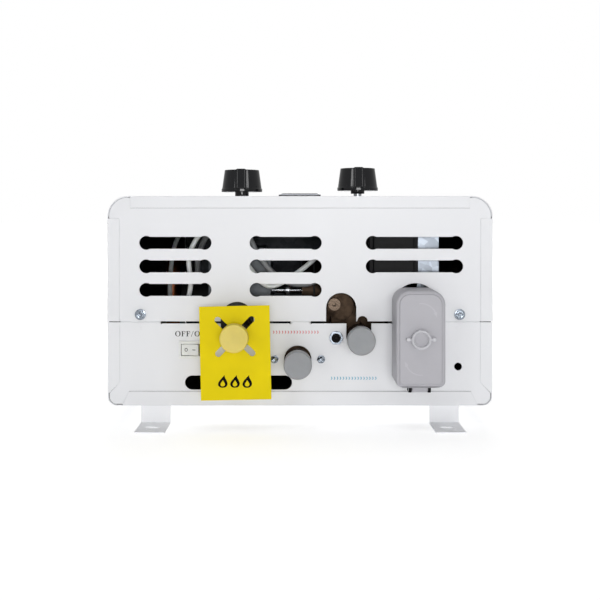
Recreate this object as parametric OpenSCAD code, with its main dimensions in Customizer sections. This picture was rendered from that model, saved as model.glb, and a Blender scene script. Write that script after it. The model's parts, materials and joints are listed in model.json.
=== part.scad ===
// Tankless gas water heater, lying on its back on its wall brackets.
// X runs across the casing, +Y points from the connection end to the flue end,
// +Z points from the wall plane (Z = 0) to the front. All sizes are in millimetres.

/* [Casing] */
// Width of the casing across its sides
body_w = 340; // [330:1:370]
// Height of the casing from the connection end to the flue end
body_h = 550; // [530:1:620]
// Depth of the rear pan from the back plate to the seam
pan_depth = 74; // [72:1:82]
// Depth of the front cover from the seam to the front face
cover_depth = 111; // [108:1:130]
// Gap between the back plate and the wall
wall_gap = 16.5; // [14:0.5:24]
// Thickness of the casing sheet
sheet_t = 0.8; // [0.6:0.1:1]
// Outside radius of the cover's front corners
corner_r = 18; // [14:1:22]
// Outside radius of the pan's rear corners
pan_corner_r = 8; // [5:0.5:9]
// How far each side of the pan stands in from the cover
pan_inset = 0.4; // [0.2:0.1:0.8]
// Width of the return flanges round the end panels
flange_w = 10.5; // [9:0.5:12]
// Height of the pan's lower return flange
lower_flange_w = 12.5; // [10:0.5:14]
// Open gap along the seam between cover and pan
seam_gap = 0.6; // [0.4:0.1:1]
// Gap between an end panel and the wrapped sheet round it
panel_gap = 0.5; // [0.3:0.1:0.8]

/* [Vents] */
// Height of a vent slot's straight part
vent_h = 10.5; // [8:0.5:12]
// Radius of the round end of a vent slot
vent_end_r = 6.1; // [5.5:0.1:7]
// Length of a vent slot in the two three-row groups
vent_len = 63.6; // [50:0.2:68]
// Length of a vent slot in the two-row group
wide_vent_len = 85.9; // [70:0.1:88]
// Distance between the rows of vent slots
vent_pitch = 20.8; // [18:0.1:22]
// Depth of the first vent row below the front face
vent_drop = 41.3; // [30:0.1:43]
// Centre of the left vent group
left_vent_x = -110.1; // [-116:0.1:-108]
// Centre of the middle vent group
mid_vent_x = -12.7; // [-16:0.1:-8]
// Centre of the right vent group
right_vent_x = 101.1; // [96:0.1:104]

/* [Wall brackets] */
// Distance between the brackets, centre to centre, across the casing
bracket_spacing = 255; // [240:1:270]
// Width of a bracket
bracket_w = 26; // [24:1:34]
// Thickness of the bracket strip
bracket_t = 1.5; // [1:0.1:2.5]
// Length of the foot that lies on the wall
bracket_foot = 37; // [32:1:48]
// Length of the tab under the back plate
bracket_tab = 24; // [16:1:36]
// How far the bracket upright stands in from the casing's end
bracket_inset = 3; // [1:0.5:8]
// Half width of the wall-fixing slot
fixing_r = 3; // [2:0.1:4]
// End-to-end length of the wall-fixing slot
fixing_len = 12; // [9:0.5:16]
// Distance of the wall-fixing slot from the casing's end
fixing_reach = 17; // [12:0.5:22]

/* [Connections] */
// Outside radius of the pipe threads
thread_r = 10.48; // [10.3:0.01:10.6]
// Bore radius of the pipe connections
pipe_bore_r = 6; // [5:0.1:6.5]
// Depth of the relief grooves in a thread
groove_depth = 1; // [0.6:0.1:1.6]
// Length of a relief groove
groove_len = 2; // [1:0.1:3]
// Distance of the thread's root from the casing's end
thread_stop = 4; // [3:0.5:6]
// Length of thread that carries the tag
tag_seat = 5; // [4:0.5:7]
// Place of the gas inlet across the casing
gas_x = -55.5; // [-57:0.1:-54]
// Gas inlet axis below the seam
gas_drop = 9; // [7:0.1:11]
// Length of the gas inlet outside the casing's end
gas_reach = 42; // [38:0.5:50]
// Place of the hot outlet across the casing
hot_x = -2; // [-4:0.1:0]
// Hot outlet axis below the seam
hot_drop = 33.1; // [32:0.1:34]
// Place of the cold inlet across the casing
cold_x = 52; // [51:0.1:53]
// Cold inlet axis below the seam
cold_drop = 12.6; // [11:0.1:14]
// Length of the water connections outside the casing's end
water_reach = 32; // [30:0.5:38]
// Wall of a push-on cap
cap_wall = 1.45; // [1:0.05:2]
// Length of a push-on cap on its thread
cap_hold = 8; // [6:0.5:10]
// Front wall of a push-on cap
cap_face = 2; // [1:0.1:3]
// Radial clearance of a cap on its thread
cap_clear = 0.08; // [0.05:0.01:0.1]
// Radius of the hot outlet hole in the panel
hot_hole_r = 12; // [11.6:0.1:12.6]
// Distance of each outlet screw from the hot outlet axis
outlet_screw_x = 20.6; // [19:0.1:23]
// Arch radius of the gas inlet opening
gas_notch_r = 14.5; // [13:0.1:16]
// Height of the gas opening's arch centre above the gas axis
gas_notch_rise = 12; // [10:0.5:13]
// Width of the cold inlet notch
cold_notch_w = 22; // [21.5:0.1:23]
// Radius of the cold inlet's plain neck
cold_neck_r = 8.5; // [8:0.1:9.5]

/* [Gas tag] */
// Width of the tag
tag_w = 60; // [50:1:62]
// Height of the tag
tag_h = 80; // [74:1:82]
// Thickness of the tag card
tag_t = 0.8; // [0.5:0.1:1.2]
// Height of the tag's top edge above the gas axis
tag_rise = 26; // [24:0.5:30]
// Tilt of the hanging tag
tag_tilt = 1.2; // [0:0.1:3]
// Width of the four diagonal cuts
tag_cut_w = 5.3; // [4:0.1:7]
// Reach of the diagonal cuts from the gas axis
tag_cut_reach = 23; // [20:0.5:25]
// Radial clearance of the tag on the thread
tag_clear = 0.4; // [0.3:0.05:0.8]

/* [Knobs] */
// Distance of each knob from the casing's middle
knob_x = 55.8; // [54:0.1:57]
// Distance of the knobs from the connection end
knob_from_end = 75; // [72:0.5:78]
// Radius of the knob's skirt
knob_skirt_r = 19.6; // [17:0.1:21]
// Radius of the knob's top
knob_top_r = 16.4; // [14:0.1:18]
// Height of the gas knob
gas_knob_h = 22; // [18:0.5:26]
// Height of the water knob
water_knob_h = 22.4; // [18:0.5:26]
// Height of the gas knob's skirt above the front face
gas_knob_lift = 5; // [3:0.1:7]
// Height of the water knob's skirt above the front face
water_knob_lift = 6.2; // [5:0.1:8]
// Width of the grip between the knob's two hollows
knob_grip_w = 10; // [8:0.5:12]
// Depth of the hollows beside the grip
knob_hollow = 1.5; // [0.8:0.1:2.5]
// Radius of the collar under the knob
knob_collar_r = 6.6; // [5.5:0.1:8]
// Length of the collar under the water knob
water_collar_h = 2.8; // [1.5:0.1:4]
// Radius of a knob shaft
shaft_r = 3.8; // [3:0.1:4.5]
// Running clearance of a shaft in its bore
shaft_clear = 0.05; // [0.03:0.01:0.08]
// Radius of the shaft hole in the front cover
shaft_hole_r = 5.5; // [5:0.1:7]
// Depth of a shaft inside its valve
shaft_hold = 14; // [10:1:18]

/* [Display] */
// Width of the display bezel
bezel_w = 40.5; // [36:0.5:46]
// Length of the display bezel along the casing
bezel_l = 28; // [24:0.5:34]
// Height of the bezel above the front face
bezel_h = 3.7; // [2.5:0.1:5]
// Width of the bezel's sloping rim
bezel_rim = 4; // [3:0.1:5]
// Corner radius of the bezel
bezel_r = 4; // [2:0.5:6]
// Depth of the display module behind the front sheet
module_d = 11; // [8:0.5:14]

/* [Switch and sockets] */
// Place of the rocker switch across the casing
switch_x = -96.6; // [-98:0.1:-95]
// Switch centre below the seam
switch_drop = 24.7; // [23:0.1:26]
// Width of the switch bezel
switch_w = 21; // [20:0.1:22]
// Height of the switch bezel
switch_h = 15.5; // [14:0.1:17]
// Thickness of the switch bezel
switch_lip = 1.6; // [1:0.1:2.4]
// Depth of the switch body behind the panel face
switch_d = 14; // [12:0.5:20]
// Tilt of the rocker each side of level
rocker_tilt = 8; // [5:0.5:9]
// Place of the power socket across the casing
socket_x = 31.9; // [31:0.1:33]
// Power socket axis below the seam
socket_drop = 14.2; // [13:0.1:16]
// Radius of the power socket's thread
socket_r = 4; // [3.6:0.1:4.6]
// Width of the power socket's nut across flats
socket_nut_w = 11; // [10:0.1:12]
// Place of the cable hole across the casing
cable_hole_x = 139.6; // [138:0.1:142]
// Cable hole below the seam
cable_hole_drop = 39.6; // [36:0.1:42]
// Radius of the cable hole
cable_hole_r = 3.4; // [2:0.1:5]
// Centre of the long slot across the casing
long_slot_x = -54.3; // [-57:0.1:-52]
// Long slot's centre below the seam
long_slot_drop = 53.7; // [52.5:0.1:54]
// Length of the long slot
long_slot_len = 94.4; // [80:0.2:97]
// Height of the long slot
long_slot_h = 12.4; // [9:0.1:13]

/* [Battery box] */
// Place of the battery box across the casing
battery_x = 102.2; // [101:0.1:103]
// Battery box centre below the seam
battery_drop = 10.7; // [9:0.1:12]
// Width of the battery box outside the casing
battery_w = 42; // [42:0.5:44]
// Height of the battery box outside the casing
battery_h = 82; // [81:0.5:84]
// Corner radius at the top of the battery box
battery_top_r = 12; // [10:0.5:12.5]
// Corner radius at the bottom of the battery box
battery_low_r = 5; // [4:0.5:6]
// How far the battery box stands out of the casing's end
battery_stand = 22; // [18:0.5:26]
// Thickness of the battery cover
cover_lid_d = 11.7; // [10:0.1:14]
// Wall of the battery box
battery_wall = 1.9; // [1.5:0.1:2.2]
// Radius of a D-size cell
cell_r = 17.1; // [16.5:0.05:17.2]
// Length of a D-size cell
cell_len = 61.5; // [58:0.5:62]
// Clearance round the cells
cell_clear = 0.35; // [0.2:0.05:0.5]
// Outside radius of the latch ring
latch_r = 8.35; // [7:0.05:9]
// Inside radius of the latch ring
latch_bore_r = 6.1; // [4.5:0.1:6.4]
// Tip-to-tip length of the latch wings
latch_span = 25.5; // [22:0.5:30]
// Height of the latch above the battery cover
latch_h = 4; // [3:0.1:5]
// Distance of the cover's hinge pin below the battery box
battery_hinge_drop = 3.2; // [3:0.1:4]
// Width of the cover's hinge
battery_hinge_w = 19; // [16:0.5:24]

/* [Heating core] */
// Width of the burner tray and draught hood
core_w = 224; // [212:1:230]
// Depth of the burner tray and draught hood
core_d = 118; // [110:1:124]
// Height of the core's middle above the seam
core_rise = 10.5; // [9:0.5:14]
// Wall of the tray, jacket and hood
core_t = 1.2; // [0.8:0.1:1.6]
// Length of the burner tray
tray_len = 88; // [82:1:96]
// Distance of the burner tray from the connection end
tray_from_end = 167; // [166:1:172]
// Length of the draught hood
hood_len = 62; // [50:1:70]
// Number of burner bars
burner_count = 9; // [7:1:9]
// Distance between burner bars
burner_pitch = 22; // [20:0.5:22]
// Outside radius of the flue collar
flue_r = 55; // [48:0.5:56]
// How far the flue collar stands out of the casing's end
flue_reach = 40; // [30:1:60]
// Radius of the exchanger tubes
tube_r = 7; // [6:0.1:7.5]
// Wall of the copper tubes
tube_wall = 1; // [0.6:0.1:1.4]
// Distance between the exchanger's tube passes
tube_pitch = 35; // [32:0.5:36]
// Radius of a bend in a water pipe
bend_r = 14; // [12:0.5:15]

/* [Hidden] */
$fn = 64;

// Colours of the pieces
enamel_white = "#e6e7ea";
plated_steel = "#c3c7cc";
zinc_grey = "#9ba0a5";
knob_black = "#1d1e20";
chrome_silver = "#c9ccd1";
glass_black = "#15171a";
switch_white = "#eeeeec";
tag_yellow = "#e0ce06";
cap_cream = "#d9c268";
cap_grey = "#939597";
box_grey = "#b4b3b9";
brass_gold = "#b08a4e";
copper_red = "#b06a48";
rubber_black = "#232323";
board_green = "#2f6b46";
lead_white = "#e4e4e0";
sleeve_grey = "#8a8c8e";

// Planes of the casing
y_bot = -body_h / 2;
y_top = body_h / 2;
z_back = wall_gap;
z_seam = wall_gap + pan_depth;
z_front = z_seam + cover_depth;
cover_z = z_seam + seam_gap / 2;
pan_z = z_seam - seam_gap / 2;
panel_y = y_bot + sheet_t;
tab_y = y_bot + 2 * sheet_t;
floor_z = z_back + sheet_t;
// How far a cut runs past the face it opens
past = 1;
// Gap between pieces that move past each other
touch_gap = 0.3;

// Screw joint between cover and pan
// The screws sit this far from the middle of the strip beside the battery box
screw_bias = 0.35;
cover_screw_x = (battery_x + battery_w / 2 + body_w / 2 - flange_w) / 2 - screw_bias;
cover_screw_rise = 6.4;
screw_r = 1.9;
screw_clear = 0.1;
screw_head_r = 4.85;
screw_flange_t = 1;
screw_hex_r = 3.9;
screw_hex_h = 2.4;
screw_len = 6;
recess_w = 1.1;
recess_len = 4.4;
recess_d = 1.4;
tab_w = 36;
tab_rise = 14;
tab_hold = 10;
mid_tab_w = 18;
mid_tab_x = 0.6;
slit_h = 1.2;
slit_end_r = 1.2;

// Axes of the connections
gas_z = z_seam - gas_drop;
hot_z = z_seam - hot_drop;
cold_z = z_seam - cold_drop;
gas_end = y_bot - gas_reach;
water_end = y_bot - water_reach;
cap_inner_r = thread_r + cap_clear;
cap_outer_r = cap_inner_r + cap_wall;
neck_r = thread_r - groove_depth;
cap_edge_gap = 1;
gas_groove_y = gas_end + cap_hold + cap_edge_gap;
tag_seat_y = gas_groove_y + groove_len;
tag_y = tag_seat_y + (tag_seat - tag_t) / 2;
tag_groove_y = tag_seat_y + tag_seat;
water_groove_y = water_end + cap_hold + cap_edge_gap;
thread_root_y = y_bot - thread_stop;

// Valve opening in the vent panel, measured from the seam
arch_x = 36.4;
arch_r = 13.3;
arch_rise = 12.1;
lobe_x = 55.2;
lobe_r = 4.5;
lobe_rise = 0.5;

// Knobs and shafts
knob_y = y_bot + knob_from_end;
gas_knob_z = z_front + gas_knob_lift;
water_knob_z = z_front + water_knob_lift;
knob_skirt_band = 4;
knob_bore = 13;
knob_skirt_step = 0.7;
knob_rib_root = 5;
knob_rib_h = 0.9;
shaft_end_gap = 2;

// Gas and water valves
valve_setback = 35;
valve_front = y_bot + valve_setback;
valve_len = 75;
valve_back = valve_front + valve_len;
gas_valve_w = 57;
gas_valve_drop = 38.5;
gas_valve_rise = 69.5;
gas_valve_z0 = z_seam - gas_valve_drop;
gas_valve_z1 = z_seam + gas_valve_rise;
water_valve_w = 56;
water_valve_x = 50;
water_valve_drop = 35.5;
water_valve_rise = 33.5;
water_valve_z0 = z_seam - water_valve_drop;
water_valve_z1 = z_seam + water_valve_rise;
water_boss_len = 22;
water_boss_y = valve_front - water_boss_len;
rod_rise = 21.5;
rod_z = z_seam + rod_rise;
drain_x = 30.5;
drain_rise = 14.9;
drain_z = z_seam + drain_rise;
drain_r = 5.45;
drain_stem_r = 3;

// Diaphragm stack, measured along X from the water valve's left face
stack_x = water_valve_x - water_valve_w / 2;
stack_r = 32;
chamber_r = 26;
seat_t = 8;
seat_depth = 5;
diaphragm_t = 1.6;
dome_t = 10.4;
dome_wall = 3.4;
seat_x = stack_x - seat_t;
dome_x1 = seat_x - diaphragm_t;
dome_x0 = dome_x1 - dome_t;
rod_r = 2.5;
rod_travel = 3;
plate_r = 14;
plate_t = 2;
rod_collar_x = -10;
rod_collar_t = 3;
rod_collar_r = 7;
gas_face_x = gas_x + gas_valve_w / 2;
rod_hold = 11;
switch_body_x = -9;

// Battery box
battery_z = z_seam - battery_drop;
battery_front = y_bot - battery_stand;
lid_gap = 0.3;
lid_back = battery_front - lid_gap;
lid_front = lid_back - cover_lid_d;
tub_w = 2 * (cell_r + cell_clear + battery_wall);
cell_gap = 0.8;
cell_offset = cell_r + cell_gap / 2;
tub_h = 4 * cell_r + cell_gap + 2 * (cell_clear + battery_wall);
tub_depth = 55;
tub_back = y_bot + tub_depth;
contact_t = 1.2;
cell_back = tub_back - battery_wall - contact_t;
battery_low_z = battery_z - battery_h / 2;
battery_cut_gap = 0.5;
battery_pin_r = 1.5;
battery_pin_out = 2.5;
battery_pin_y = battery_front - battery_pin_out;
battery_pin_z = battery_low_z - battery_hinge_drop;
ear_t = 2.6;

// Heating core
core_z = z_seam + core_rise;
core_z0 = core_z - core_d / 2;
core_z1 = core_z + core_d / 2;
tray_y0 = y_bot + tray_from_end;
tray_y1 = tray_y0 + tray_len;
hood_from_end = 13;
hood_y1 = y_top - hood_from_end;
hood_y0 = hood_y1 - hood_len;
jacket_side_step = 4;
jacket_face_step = 2;
jacket_w = core_w - 2 * jacket_side_step;
jacket_d = core_d - 2 * jacket_face_step;
fin_h = 46;
fin_count = 20;
fin_t = 0.5;
tube_from_hood = 28;
tube_y = hood_y0 - tube_from_hood;
tube_overhang = 2;
tube_end_x = core_w / 2 + tube_overhang;
pipe_land = 1;
riser_x = tube_end_x + bend_r + pipe_land;
riser_inset = 20;
riser_start_y = valve_back - riser_inset;
riser_z = core_z - tube_pitch;
manifold_rise = 9.5;
manifold_z = z_seam + manifold_rise;
nozzle_len = 4;
manifold_y1 = tray_y0 - nozzle_len;
manifold_len = 18;
manifold_y0 = manifold_y1 - manifold_len;
hot_cross_gap = 15;
hot_cross_y = valve_back + hot_cross_gap;
hot_rise_z = core_z + tube_pitch;
hot_flange_t = 3;
hot_flange_w = 26;
hot_flange_lip = 14;

// Control box and its bracket
control_x0 = 62;
control_x1 = 106;
control_setback = 13;
control_y0 = y_bot + control_setback;
control_knob_gap = 6;
control_y1 = knob_y - control_knob_gap;
control_rise = 37.5;
control_z0 = z_seam + control_rise;
control_front_gap = 11.5;
control_z1 = z_front - control_front_gap;
bracket_strip_w = 19;
bracket_strip_in = 10;
bracket_foot_half = 7;
bracket_foot_len = 20;
lid_step = 4;
lid_t = 2;
strip_t = 1.2;

// Routes of the wires, chosen by hand
ignition_route = [
  [62, -225, 172], [50, -225, 172], [28, -244, 158], [2, -260, 136], [-26, -264, 121],
  [-44, -263, 136], [-62, -262, 164], [-84, -260, 172], [-99, -262, 150], [-98, -262, 122],
  [-104, -258, 104], [-118, -240, 102], [-124, -205, 128], [-122, -172, 160],
  [-108, -120, 176], [-68, -60, 186], [-38, -28, 188], [-30, -27, 178], [-30, -27, 172]
];
harness_route = [
  [62, -242, 146], [48, -242, 146], [30, -246, 134], [6, -250, 122], [-18, -251, 127],
  [-37, -250, 147], [-50, -248, 170], [-68, -240, 178], [-88, -222, 164], [-98, -206, 140],
  [-98, -205, 121]
];
red_route = [
  [94, -220, 97], [94, -212, 97], [92, -208, 110], [88, -214, 121], [86, -222, 124], [86, -222, 128]
];
blue_route = [
  [110, -220, 62], [110, -212, 62], [110, -207, 80], [104, -207, 104], [98, -214, 122],
  [98, -222, 124], [98, -222, 128]
];

// Flat shape in X and Z, thickened from y to y + t
module plate_xz(y, t) {
  translate([0, y + t, 0])
    rotate([90, 0, 0])
      linear_extrude(t)
        children();
}

// Round bar along Y
module rod_y(r, y0, y1) {
  translate([0, y1, 0])
    rotate([90, 0, 0]) cylinder(r = r, h = y1 - y0);
}

// Round bar along X
module rod_x(r, x0, x1) {
  translate([x0, 0, 0])
    rotate([0, 90, 0]) cylinder(r = r, h = x1 - x0);
}

// Box between two corners
module block(low, high) {
  translate(low)
    cube(high - low);
}

// Moves children to a place in X and Z
module at_xz(x, z) {
  translate([x, 0, z])
    children();
}

// Flat rectangle with its own radius at the top and bottom corners
module round_rect(w, h, top_r, low_r) {
  translate([-w / 2, low_r - h / 2]) square([w, h - top_r - low_r]);
  translate([top_r - w / 2, 0]) square([w - 2 * top_r, h / 2]);
  translate([low_r - w / 2, -h / 2]) square([w - 2 * low_r, h / 2]);
  for (side = [-1, 1]) {
    translate([side * (w / 2 - top_r), h / 2 - top_r]) circle(top_r);
    translate([side * (w / 2 - low_r), low_r - h / 2]) circle(low_r);
  }
}

// Flat slot with round ends along X
module slot_shape(length, h) {
  square([length - h, h], center = true);
  for (side = [-1, 1])
    translate([side * (length - h) / 2, 0]) circle(h / 2);
}

// Cross recess of a screw head, sunk from y towards +Y
module cross_recess(y) {
  for (turn = [0, 90])
    rotate([0, turn, 0])
      block([-recess_len / 2, y - past, -recess_w / 2], [recess_len / 2, y + recess_d, recess_w / 2]);
}

function unit(v) = v / norm(v);

// Point on a smooth curve through the route, t from 0 to 1 after point i
function curve_point(p, i, t) =
  let (
    a = p[max(i - 1, 0)],
    b = p[i],
    c = p[i + 1],
    d = p[min(i + 2, len(p) - 1)]
  )
  b + t * (c - a) / 2 + t * t * (a - 2.5 * b + 2 * c - d / 2) + t * t * t * (3 * b - a - 3 * c + d) / 2;

// Rings per stretch of a wire's route
route_steps = 3;
wire_sides = 8;

// Route with straight ends and a smooth curve between them
function smooth_route(p) = concat(
  [p[0]],
  [for (i = [1 : len(p) - 3]) for (k = [0 : route_steps - 1]) curve_point(p, i, k / route_steps)],
  [p[len(p) - 2], p[len(p) - 1]]
);

function tangents(path) = [
  for (i = [0 : len(path) - 1])
    unit(path[min(i + 1, len(path) - 1)] - path[max(i - 1, 0)])
];

function square_to(v, t) = unit(v - (v * t) * t);

// Sideways directions carried along the path without twist
function side_vectors(t) = [
  for (i = 0, n = square_to([0.3, 0.5, 0.8], t[0]); i < len(t); i = i + 1,
    n = i < len(t) ? square_to(n, t[i]) : n) n
];

// Round wire swept along a route
module wire(route, r) {
  path = smooth_route(route);
  along = tangents(path);
  side = side_vectors(along);
  rings = len(path);
  points = [
    for (i = [0 : rings - 1]) for (k = [0 : wire_sides - 1])
      let (turn = 360 * k / wire_sides)
      path[i] + r * (cos(turn) * side[i] + sin(turn) * cross(along[i], side[i]))
  ];
  walls = [
    for (i = [0 : rings - 2]) for (k = [0 : wire_sides - 1])
      let (
        next = (k + 1) % wire_sides,
        a = i * wire_sides + k,
        b = i * wire_sides + next
      )
      each [[a, a + wire_sides, b], [b, a + wire_sides, b + wire_sides]]
  ];
  last = (rings - 1) * wire_sides;
  caps = [
    for (k = [1 : wire_sides - 2])
      each [[0, k, k + 1], [last, last + k + 1, last + k]]
  ];
  polyhedron(points, concat(walls, caps));
}

// Bent pipe along straight runs that meet at right angles
module pipe(points, r) {
  count = len(points);
  for (i = [0 : count - 2]) {
    along = unit(points[i + 1] - points[i]);
    start = points[i] + (i > 0 ? bend_r : 0) * along;
    end = points[i + 1] - (i < count - 2 ? bend_r : 0) * along;
    side = [along[1], along[2], along[0]];
    up = cross(along, side);
    multmatrix([
      [side[0], up[0], along[0], start[0]],
      [side[1], up[1], along[1], start[1]],
      [side[2], up[2], along[2], start[2]],
      [0, 0, 0, 1]
    ])
      cylinder(r = r, h = norm(end - start));
  }
  for (i = [1 : 1 : count - 2]) {
    come = unit(points[i] - points[i - 1]);
    go = unit(points[i + 1] - points[i]);
    turn_axis = cross(come, go);
    centre = points[i] - bend_r * come + bend_r * go;
    multmatrix([
      [-go[0], come[0], turn_axis[0], centre[0]],
      [-go[1], come[1], turn_axis[1], centre[1]],
      [-go[2], come[2], turn_axis[2], centre[2]],
      [0, 0, 0, 1]
    ])
      rotate_extrude(angle = 90)
        translate([bend_r, 0]) circle(r);
  }
}

// Hollow bent pipe
module tube_run(points) {
  difference() {
    pipe(points, tube_r);
    pipe(points, tube_r - tube_wall);
  }
}

// Outline of the front cover in X and Z, drawn in from the outside by inset
module cover_section(inset, base) {
  half = body_w / 2 - inset;
  r = corner_r - inset;
  top = z_front - inset;
  translate([-half, base]) square([2 * half, top - r - base]);
  translate([r - half, base]) square([2 * (half - r), top - base]);
  for (side = [-1, 1])
    translate([side * (half - r), top - r]) circle(r);
}

// Outline of the rear pan in X and Z, drawn in from the outside by inset
module pan_section(inset, top) {
  half = body_w / 2 - pan_inset - inset;
  r = pan_corner_r - inset;
  base = z_back + inset;
  translate([-half, base + r]) square([2 * half, top - base - r]);
  translate([r - half, base]) square([2 * (half - r), top - base]);
  for (side = [-1, 1])
    translate([side * (half - r), base + r]) circle(r);
}

// Return flanges of the cover: one along the front, one down each side
flange_relief = 2;
module cover_flanges() {
  front_half = body_w / 2 - corner_r - flange_relief;
  translate([-front_half, z_front - flange_w]) square([2 * front_half, flange_w]);
  for (side = [0, 1])
    mirror([side, 0])
      translate([body_w / 2 - flange_w, cover_z])
        square([flange_w, z_front - corner_r - flange_relief - cover_z]);
}

// Return flanges of the pan, cut back at an angle in the lower corners
module pan_flanges() {
  half = body_w / 2 - pan_inset;
  low_half = half - flange_w - flange_relief;
  polygon([
    [-low_half, z_back], [low_half, z_back],
    [low_half - lower_flange_w / 2, z_back + lower_flange_w],
    [lower_flange_w / 2 - low_half, z_back + lower_flange_w]
  ]);
  side_z = z_back + pan_corner_r + flange_relief;
  for (side = [0, 1])
    mirror([side, 0])
      polygon([
        [half, side_z], [half, pan_z], [half - flange_w, pan_z],
        [half - flange_w, side_z + flange_w]
      ]);
}

module front_cover() {
  color(enamel_white)
    difference() {
      union() {
        plate_xz(y_bot, body_h)
          difference() {
            cover_section(0, cover_z);
            cover_section(sheet_t, cover_z - past);
          }
        for (y = [y_bot, y_top - sheet_t])
          plate_xz(y, sheet_t) cover_flanges();
      }
      for (x = [-knob_x, knob_x])
        translate([x, knob_y, z_front - sheet_t - past])
          cylinder(r = shaft_hole_r, h = sheet_t + 2 * past);
      translate([0, knob_y, z_front - sheet_t - past])
        linear_extrude(sheet_t + 2 * past)
          square([bezel_w - 2 * bezel_rim, bezel_l - 2 * bezel_rim], center = true);
    }
}

// One vent slot with enlarged round ends
module vent_slot(length) {
  square([length - 2 * vent_end_r, vent_h], center = true);
  for (side = [-1, 1])
    translate([side * (length / 2 - vent_end_r), 0]) circle(vent_end_r);
}

module vent_column(x, length, rows) {
  for (row = [0 : rows - 1])
    translate([x, z_front - vent_drop - row * vent_pitch]) vent_slot(length);
}

// Straight-sided arch that stands on the seam
module arch(x, r, rise) {
  translate([x, z_seam + rise]) circle(r);
  translate([x - r, z_seam - past]) square([2 * r, rise + past]);
}

// Cut-out for the battery box, shared by both connection-end panels
module battery_cut() {
  translate([battery_x, battery_z])
    round_rect(tub_w + 2 * battery_cut_gap, tub_h + 2 * battery_cut_gap, battery_top_r, battery_low_r);
  translate([battery_x, battery_z + tub_h / 2 - battery_top_r])
    circle(tub_w / 2 + battery_cut_gap);
}

module vent_panel() {
  color(enamel_white)
    plate_xz(panel_y, sheet_t)
      difference() {
        cover_section(sheet_t + panel_gap, cover_z);
        vent_column(left_vent_x, vent_len, 3);
        vent_column(mid_vent_x, vent_len, 3);
        vent_column(right_vent_x, wide_vent_len, 2);
        arch(arch_x, arch_r, arch_rise);
        arch(lobe_x, lobe_r, lobe_rise);
        arch(gas_x, gas_notch_r, gas_notch_rise - gas_drop);
        battery_cut();
        for (x = [-cover_screw_x, cover_screw_x])
          translate([x, z_seam + cover_screw_rise]) circle(screw_r + 2 * screw_clear);
      }
}

// Flue opening, shared by both flue-end panels
flue_clear = 1.5;
module flue_cut() {
  translate([0, core_z]) circle(flue_r + flue_clear);
}

module cover_top_panel() {
  color(enamel_white)
    plate_xz(y_top - 2 * sheet_t, sheet_t)
      difference() {
        cover_section(sheet_t + panel_gap, cover_z);
        flue_cut();
      }
}

module rear_pan() {
  color(enamel_white)
    union() {
      plate_xz(y_bot, body_h)
        difference() {
          pan_section(0, pan_z);
          pan_section(sheet_t, pan_z + past);
        }
      for (y = [y_bot, y_top - sheet_t])
        plate_xz(y, sheet_t) pan_flanges();
    }
}

// Narrow slit along the seam between two tabs
module seam_slit(x0, x1) {
  translate([x0, pan_z - slit_h]) square([x1 - x0, slit_h + past]);
  for (x = [x0, x1])
    translate([x, pan_z - slit_h / 2]) circle(slit_end_r);
}

// Joint tabs of the connection panel, lapped behind the vent panel
module seam_tabs() {
  for (x = [-cover_screw_x, cover_screw_x])
    translate([x - tab_w / 2, pan_z - tab_hold]) square([tab_w, tab_hold + tab_rise]);
  translate([mid_tab_x - mid_tab_w / 2, pan_z - tab_hold])
    square([mid_tab_w, tab_hold + tab_rise]);
}

module connection_panel() {
  color(enamel_white)
    difference() {
      union() {
        plate_xz(panel_y, sheet_t)
          difference() {
            pan_section(sheet_t + panel_gap, pan_z);
            seam_slit(tab_w / 2 - cover_screw_x, mid_tab_x - mid_tab_w / 2);
            seam_slit(mid_tab_x + mid_tab_w / 2, battery_x);
          }
        plate_xz(tab_y, sheet_t) seam_tabs();
      }
      plate_xz(y_bot, 5 * sheet_t) connection_cuts();
    }
}

module connection_cuts() {
  translate([gas_x, gas_z]) circle(gas_notch_r);
  translate([gas_x - gas_notch_r, gas_z]) square([2 * gas_notch_r, gas_drop + past]);
  translate([hot_x, hot_z]) circle(hot_hole_r);
  for (side = [-1, 1])
    translate([hot_x + side * outlet_screw_x, hot_z]) circle(screw_r + screw_clear);
  translate([cold_x, cold_z]) circle(cold_notch_w / 2);
  translate([cold_x - cold_notch_w / 2, cold_z]) square([cold_notch_w, cold_drop + past]);
  translate([socket_x, z_seam - socket_drop]) circle(socket_r + screw_clear);
  translate([switch_x, z_seam - switch_drop])
    square([switch_body_w + 2 * screw_clear, switch_body_h + 2 * screw_clear], center = true);
  translate([long_slot_x, z_seam - long_slot_drop]) slot_shape(long_slot_len, long_slot_h);
  translate([cable_hole_x, z_seam - cable_hole_drop]) circle(cable_hole_r);
  for (x = [-cover_screw_x, cover_screw_x])
    translate([x, z_seam + cover_screw_rise]) circle(screw_r + screw_clear);
  battery_cut();
}

module rear_top_panel() {
  color(enamel_white)
    plate_xz(y_top - 2 * sheet_t, sheet_t)
      difference() {
        pan_section(sheet_t + panel_gap, pan_z);
        flue_cut();
      }
}

// One Z-shaped wall bracket at the connection end, foot on the wall plane
module wall_bracket() {
  upright_y = y_bot + bracket_inset;
  difference() {
    union() {
      block([-bracket_w / 2, upright_y - bracket_foot, 0], [bracket_w / 2, upright_y, bracket_t]);
      block([-bracket_w / 2, upright_y - bracket_t, 0], [bracket_w / 2, upright_y, wall_gap]);
      block(
        [-bracket_w / 2, upright_y - bracket_t, wall_gap - bracket_t],
        [bracket_w / 2, upright_y + bracket_tab, wall_gap]
      );
    }
    translate([0, y_bot - fixing_reach, -past])
      linear_extrude(bracket_t + 2 * past) slot_shape(fixing_len, 2 * fixing_r);
  }
}

module bracket_pair() {
  for (side = [-1, 1])
    translate([side * bracket_spacing / 2, 0, 0]) wall_bracket();
}

module wall_brackets_lower() {
  color(enamel_white) bracket_pair();
}

module wall_brackets_upper() {
  color(enamel_white)
    mirror([0, 1, 0])
      bracket_pair();
}

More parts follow.
